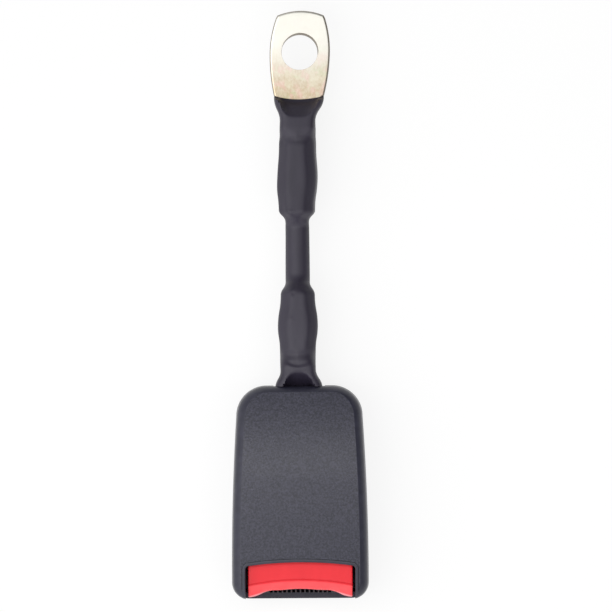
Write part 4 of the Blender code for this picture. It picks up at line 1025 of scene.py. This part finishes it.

# %% [markdown]
# The anchor plate is stamped from 3 mm steel: bowed sides, a shallow arched tip, a hole for the bolt. A
# filled 2D curve with an extrude and a small round bevel gives the stamped edge on the outline and on
# the holes at once; the curve is then kept as a mesh. The end under the sleeve holds the rope's eye. The
# plate sits a little askew on its rope, and the wall of its hole leans, as in the picture. Its cut edge is
# partly painted shade: the faces that turn away from the light get a dark bare steel finish, and those
# that the light reaches keep the plating.

# %% Anchor plate
PLATE_TIP = span("anchor_plate")[1]
PLATE_HALF_WIDTH = PLATE_HIGH[0]
WIDEST = PLATE_TIP - 0.0143
UPPER_ARC = 0.036
TOP_ARC = 0.020
TOP_HALF_WIDTH = 0.0079
TOP_CORNER = 0.0011
CORNER_INSET = 0.0001
SHOULDER_HALF_WIDTH = 0.00865
BOLT_HOLE = (PLATE_TIP - 0.014, 0.00625)
ROPE_EYE = (PLATE_TIP - 0.036, 0.0028)
SLEEVE_START, SLEEVE_END = span("cable_sleeve")
SLEEVE_WALL = 0.00055
SHOULDER = SLEEVE_END + 0.0003
NECK_END = SLEEVE_END - 0.0012
SHANK = 0.00505
SHANK_END_WIDTH = 0.0072
EDGE = 0.00085
# Edge faces steeper than these slopes get the dark steel as painted shade; the lit side keeps more plating.
PAINTED_SHADE_SLOPE = 0.88
LIT_SIDE_SHADE_SLOPE = 0.66
PLATE_TURN = 0.026
PLATE_SHIFT = 0.0005
HOLE_LEAN = Vector((0.08, 0.22))
HOLE_ROUND = 0.2
HOLE_ZONE = BOLT_HOLE[1] + 2 * EDGE
HOLE_STEPS = 128


def plate_side(y):
    if y > WIDEST:
        return PLATE_HALF_WIDTH - (y - WIDEST) ** 2 / (2 * UPPER_ARC)
    share = (WIDEST - y) / (WIDEST - SHOULDER)
    return PLATE_HALF_WIDTH - (PLATE_HALF_WIDTH - SHOULDER_HALF_WIDTH) * share**2


def plate_outline():
    right = arc((0, ROPE_EYE[0]), SHANK, -90, 0, 16)
    for i in range(1, 9):
        share = i / 8
        y = ROPE_EYE[0] + (NECK_END - ROPE_EYE[0]) * share
        right.append((SHANK + (SHANK_END_WIDTH - SHANK) * share * share * (3 - 2 * share), y))
    top_y = PLATE_TIP - TOP_HALF_WIDTH**2 / (2 * TOP_ARC)
    for i in range(33):
        y = SHOULDER + (top_y - TOP_CORNER - SHOULDER) * i / 32
        right.append((plate_side(y), y))
    start, end = Vector(right[-1]), Vector((TOP_HALF_WIDTH, top_y))
    corner = Vector((plate_side(top_y) - CORNER_INSET, top_y - CORNER_INSET))
    for i in range(1, 8):
        t = i / 8
        right.append(tuple(start * (1 - t) ** 2 + corner * 2 * t * (1 - t) + end * t * t))
    for i in range(16, -1, -1):
        x = TOP_HALF_WIDTH * i / 16
        right.append((x, PLATE_TIP - x**2 / (2 * TOP_ARC)))
    return mirrored(right)


def make_plate():
    low, high = PLATE_LOW[2], PLATE_HIGH[2]
    curve = bpy.data.curves.new("plate", "CURVE")
    curve.dimensions = "2D"
    curve.fill_mode = "BOTH"
    curve.extrude = (high - low) / 2 - EDGE
    curve.bevel_depth = EDGE
    curve.bevel_resolution = 3
    curve.offset = -EDGE
    last = 360 * (1 - 1 / HOLE_STEPS)
    holes = [arc((0, y), radius, 0, last, HOLE_STEPS - 1) for y, radius in (BOLT_HOLE, ROPE_EYE)]
    for points in (plate_outline(), *holes):
        line = curve.splines.new("POLY")
        line.points.add(len(points) - 1)
        for point, (x, y) in zip(line.points, points):
            point.co = (x, y, 0, 1)
        line.use_cyclic_u = True
    drawn = stand("plate_curve", curve)
    shape = bmesh.new()
    shape.from_mesh(worked_out(drawn))
    bpy.data.objects.remove(drawn)
    for vertex in shape.verts:
        x, y, z = vertex.co
        away = Vector((x, y - BOLT_HOLE[0]))
        if away.length < HOLE_ZONE:
            radius = BOLT_HOLE[1] + (away.length - BOLT_HOLE[1]) * HOLE_ROUND
            moved = away.normalized() * radius + HOLE_LEAN * (z - (high - low) / 2)
            vertex.co.x, vertex.co.y = moved.x, moved.y + BOLT_HOLE[0]
        vertex.co.x += PLATE_SHIFT + PLATE_TURN * (y - SLEEVE_END)
        vertex.co.z += (low + high) / 2
    for face in shape.faces:
        x, y, _ = face.calc_center_median()
        in_hole = math.hypot(x, y - BOLT_HOLE[0]) < HOLE_ZONE
        # Painted shade: edge faces turned away from the light get the dark steel, those facing it the
        # plating.
        lit = face.normal.y > 0.1 if in_hole else face.normal.x < 0.3
        lit_slope = 0 if in_hole else LIT_SIDE_SHADE_SLOPE
        face.material_index = int(abs(face.normal.z) < (lit_slope if lit else PAINTED_SHADE_SLOPE))
    return helper("plate", shape)


plate = make_plate()
flatten(plate)
dress(plate, "anchor_tab", [zinc_yellow, cut_steel_painted_shade], "anchor_plate", 30)

# %% [markdown]
# The sleeve is a shrunk tube, so its shape is that of what it holds: flat on the plates, high over the
# rope's eyes, eight-sided over the pressed ferrules, round on the bare rope. It is a skin of many rings.
# Each ring's half width and half height glide between a few stations along the stalk. One formula covers
# every section: the powers of the flats' distances are added, a low power giving an ellipse and a high
# one a body with flats and tight corners.

# %% The sleeve's stations
LOWER_START, LOWER_END = span("lower_ferrule")
UPPER_START, UPPER_END = span("upper_ferrule")
FACET_CUT = 0.0034
FACET_TURN = math.radians(3.5)
END_SLOPE = 0.0074

WIDTHS = [
    (SLEEVE_START + 0.0006, 0.0081),
    (SLEEVE_START + 0.0066, 0.0061),
    (LOWER_START, 0.0062),
    (LOWER_START + 0.008, 0.0069),
    (LOWER_END, 0.0059),
    (LOWER_END + 0.0045, 0.0042),
    (UPPER_START - 0.003, 0.0041),
    (UPPER_START + 0.0008, 0.0061),
    (UPPER_START + 0.0105, 0.0068),
    (UPPER_END, 0.0062),
    (SLEEVE_END - 0.0085, 0.0061),
    (SLEEVE_END - 0.0003, 0.0086),
]
HEIGHTS = [
    (SLEEVE_START + 0.0008, 0.0027),
    (SLEEVE_START + 0.0064, 0.0085, 0.15),
    (LOWER_END, 0.00845),
    (LOWER_END + 0.0075, 0.0043),
    (UPPER_START - 0.0055, 0.0042),
    (UPPER_START + 0.0004, 0.00845, 0.3),
    (SLEEVE_END - END_SLOPE, 0.0086),
    (SLEEVE_END, 0.0026, 0.1),
]
POWERS = [
    (SLEEVE_START, 6),
    (LOWER_START - 0.002, 5),
    (LOWER_START + 0.002, 20),
    (LOWER_END - 0.001, 20),
    (LOWER_END + 0.005, 2),
    (UPPER_START - 0.005, 2),
    (UPPER_START + 0.001, 22),
    (UPPER_END - 0.001, 22),
    (UPPER_END + 0.003, 6),
    (SLEEVE_END, 7),
]
FACETS = [
    (LOWER_START - 0.006, 0),
    (LOWER_START, 1),
    (LOWER_END, 1),
    (LOWER_END + 0.005, 0),
    (UPPER_START - 0.005, 0),
    (UPPER_START, 1),
    (UPPER_END, 1),
    (UPPER_END + 0.006, 0),
]
TURNS = [
    (UPPER_START - 0.012, 0),
    (UPPER_START + 0.004, FACET_TURN),
    (UPPER_END, FACET_TURN),
    (SLEEVE_END - 0.006, 0),
]
LEANS = [
    (SLEEVE_START, -0.0001),
    (SLEEVE_START + 0.010, -0.0004),
    (LOWER_END, -0.0003),
    (UPPER_START - 0.010, -0.0003),
    (UPPER_START + 0.004, -0.00042),
    (UPPER_END - 0.008, -0.0001),
    (SLEEVE_END - 0.008, 0),
    (SLEEVE_END, PLATE_SHIFT),
]
print(f"Sleeve from {SLEEVE_START:.4f} to {SLEEVE_END:.4f}")

# %% [markdown]
# Folds and dents. Where the tube shrank over a step it has small folds, and they catch the light, so they
# are modelled and not painted. Each is a bell-shaped bump or dent added to the upper side. The largest is
# the curved fold near the housing, the smile: a groove along a parabola with a lip beside it.

# %% Folds and dents
BUMPS = [  # x, y, half length in x and in y, height
    (0.0010, UPPER_END + 0.0011, 0.0030, 0.0009, -0.00032),
    (-0.0046, UPPER_END + 0.0007, 0.0010, 0.0012, -0.00030),
    (-0.0025, UPPER_START - 0.0004, 0.0013, 0.0011, 0.00030),
    (-0.0046, UPPER_START + 0.0009, 0.0009, 0.0012, -0.00030),
    (-0.0028, LOWER_END + 0.0019, 0.0012, 0.0012, 0.00035),
    (-0.0017, LOWER_END + 0.0006, 0.0008, 0.0008, -0.00035),
    (-0.0026, LOWER_END - 0.0082, 0.0009, 0.0009, 0.00016),
]
SMILE_Y = SLEEVE_START + 0.0086
SMILE_RISE = 0.0013
SMILE_HALF_WIDTH = 0.0045
SMILE_REACH = 0.0042
SMILE_DEPTH = 0.00030
SMILE_LIP = 0.00022
END_DIP = 0.0011
WRINKLE = 0.006


def relief(x, y):
    """Height of the folds and dents at a point of the upper side."""
    total = 0
    for across, along, wide, long, height in BUMPS:
        total += height * math.exp(-(((x - across) / wide) ** 2) - ((y - along) / long) ** 2)
    smile = SMILE_Y + SMILE_RISE * (x / SMILE_HALF_WIDTH) ** 2
    reach = math.exp(-((x / SMILE_REACH) ** 4))
    total -= SMILE_DEPTH * reach * math.exp(-(((y - smile) / 0.0007) ** 2))
    total += SMILE_LIP * reach * math.exp(-(((y - smile + SMILE_RISE) / 0.0006) ** 2))
    return total


def bulge_place(x, y):
    """Where along the stalk the half height is read: the slopes at both ends are shorter at the sides."""
    lower = max(0.15, 1 - (abs(x) / 0.0056) ** 3)
    upper = max(0.12, 1 - (abs(x) / 0.0071) ** 3.6)
    if y < LOWER_START:
        return min(SLEEVE_START + (y - SLEEVE_START) / lower, LOWER_START)
    if y > UPPER_END:
        return max(SLEEVE_END - (SLEEVE_END - y) / upper, UPPER_END)
    return y


def sleeve_ring(y, inset=0.0, sides=112):
    """One ring of the sleeve. Its half height depends on x, so it is worked out a second time."""
    half_width, power = glide(y, WIDTHS), glide(y, POWERS)
    facets, turn = glide(y, FACETS), glide(y, TURNS)
    lean = glide(y, LEANS)
    dip = END_DIP * glide(y, [(SLEEVE_END - 0.004, 0), (SLEEVE_END, 1)])
    ring = []
    for i in range(sides):
        angle = 2 * math.pi * i / sides
        c, s = math.cos(angle), math.sin(angle)
        half_height = glide(y, HEIGHTS)
        for _ in range(2):
            corner = half_width * abs(c) + half_height * abs(s)
            corner /= half_width + half_height - FACET_CUT
            total = abs(c) ** power + abs(s) ** power + facets * corner**power
            reach = total ** (-1 / power)
            x = (half_width - inset) * reach * c
            half_height = glide(bulge_place(x, y), HEIGHTS)
        z = (half_height - inset) * reach * s
        if s > 0 and not inset:
            z += relief(x, y) * min(1, s * 2)
        x, z = x * math.cos(turn) - z * math.sin(turn), x * math.sin(turn) + z * math.cos(turn)
        if not inset:
            wrinkle = noise.noise(Vector((x * 250, y * 120, z * 250)))
            x, z = x * (1 + WRINKLE * wrinkle), z * (1 + WRINKLE * wrinkle)
        ring.append((x + lean, y - dip * (1 - (c * reach) ** 2), PARTING + z))
    return ring


print("Relief at the smile fold:", round(1000 * relief(0, SMILE_Y), 3), "mm")

# %% [markdown]
# The sleeve's skin. A real tube has a wall, and its end shows it, so the rings run along the outside, turn
# in over a small lip at the plate, and come back along the inside to where they began. The rings lie half a
# millimetre apart, close enough for the folds.

# %% Sleeve
RING_STEP = 0.0005
BURIED = 0.0001


def make_sleeve():
    count = round((SLEEVE_END - SLEEVE_START) / RING_STEP)
    places = [SLEEVE_START + (SLEEVE_END - SLEEVE_START) * i / count for i in range(count + 1)]
    outer = [sleeve_ring(y) for y in places]
    lip = [sleeve_ring(SLEEVE_END + BURIED, BURIED), sleeve_ring(SLEEVE_END + 1.5 * BURIED, 3 * BURIED)]
    inner = [sleeve_ring(y, SLEEVE_WALL) for y in reversed(places[::2])]
    rings = outer + lip + inner
    return loft("sleeve", rings + [rings[0]], capped=False)


sleeve = make_sleeve()
dress(sleeve, "shrunk_sleeve", [sleeve_black], "cable_sleeve", 45)

# %% [markdown]
# Coil springs. A helix swept with a round wire is a few lines of trigonometry. Each coil fills the box
# of the part's spring, takes its place, and gets a mesh of its own.


def make_spring(node, axis, wire, turns):
    low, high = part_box(node)
    index = "XYZ".index(axis)
    across = [i for i in range(3) if i != index]
    centre = [(a + b) / 2 for a, b in zip(low, high)]
    radius = (high[across[0]] - low[across[0]]) / 2 - wire
    steps, sides = turns * 28, 10
    rings = []
    for i in range(steps + 1):
        angle = 2 * math.pi * turns * i / steps
        ring = []
        for j in range(sides):
            turn = 2 * math.pi * j / sides
            out = radius + wire * math.cos(turn)
            point = [0, 0, 0]
            point[index] = low[index] + wire + (high[index] - low[index] - 2 * wire) * i / steps
            point[index] += wire * math.sin(turn)
            point[across[0]] = centre[across[0]] + out * math.cos(angle)
            point[across[1]] = centre[across[1]] + out * math.sin(angle)
            ring.append((point[0], point[1] - MOUTH, point[2]))
        rings.append(ring)
    made = dress(loft(node, rings), node + "_coil", [spring_steel], node, 60)
    anchor = list(centre)
    anchor[index] = high[index]
    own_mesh(made)


make_spring("button_spring_left", "Y", 0.00025, 8)
make_spring("button_spring_right", "Y", 0.00025, 8)
make_spring("ejector_spring", "Y", 0.00022, 9)
make_spring("latch_spring", "Z", 0.0002, 3)

# %% [markdown]
# The pieces inside keep the part's own shapes. They are stamped, turned and pressed metal and one
# moulded slider, and only their finish is added here.

# %% Finishes of the inner pieces
INNER_FINISHES = {
    sheet_steel: ["frame", "frame_bridge", "latch_plate"],
    pin_steel: ["latch_pin", "bridge_rivet_left", "bridge_rivet_right"],
    rope_steel: ["wire_rope"],
    ferrule_alloy: ["lower_ferrule", "upper_ferrule"],
    slider_white: ["ejector"],
}
for used, names in INNER_FINISHES.items():
    for name in names:
        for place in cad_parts[name].material_slots:
            place.material = used
    print(used.name, "on", ", ".join(names))
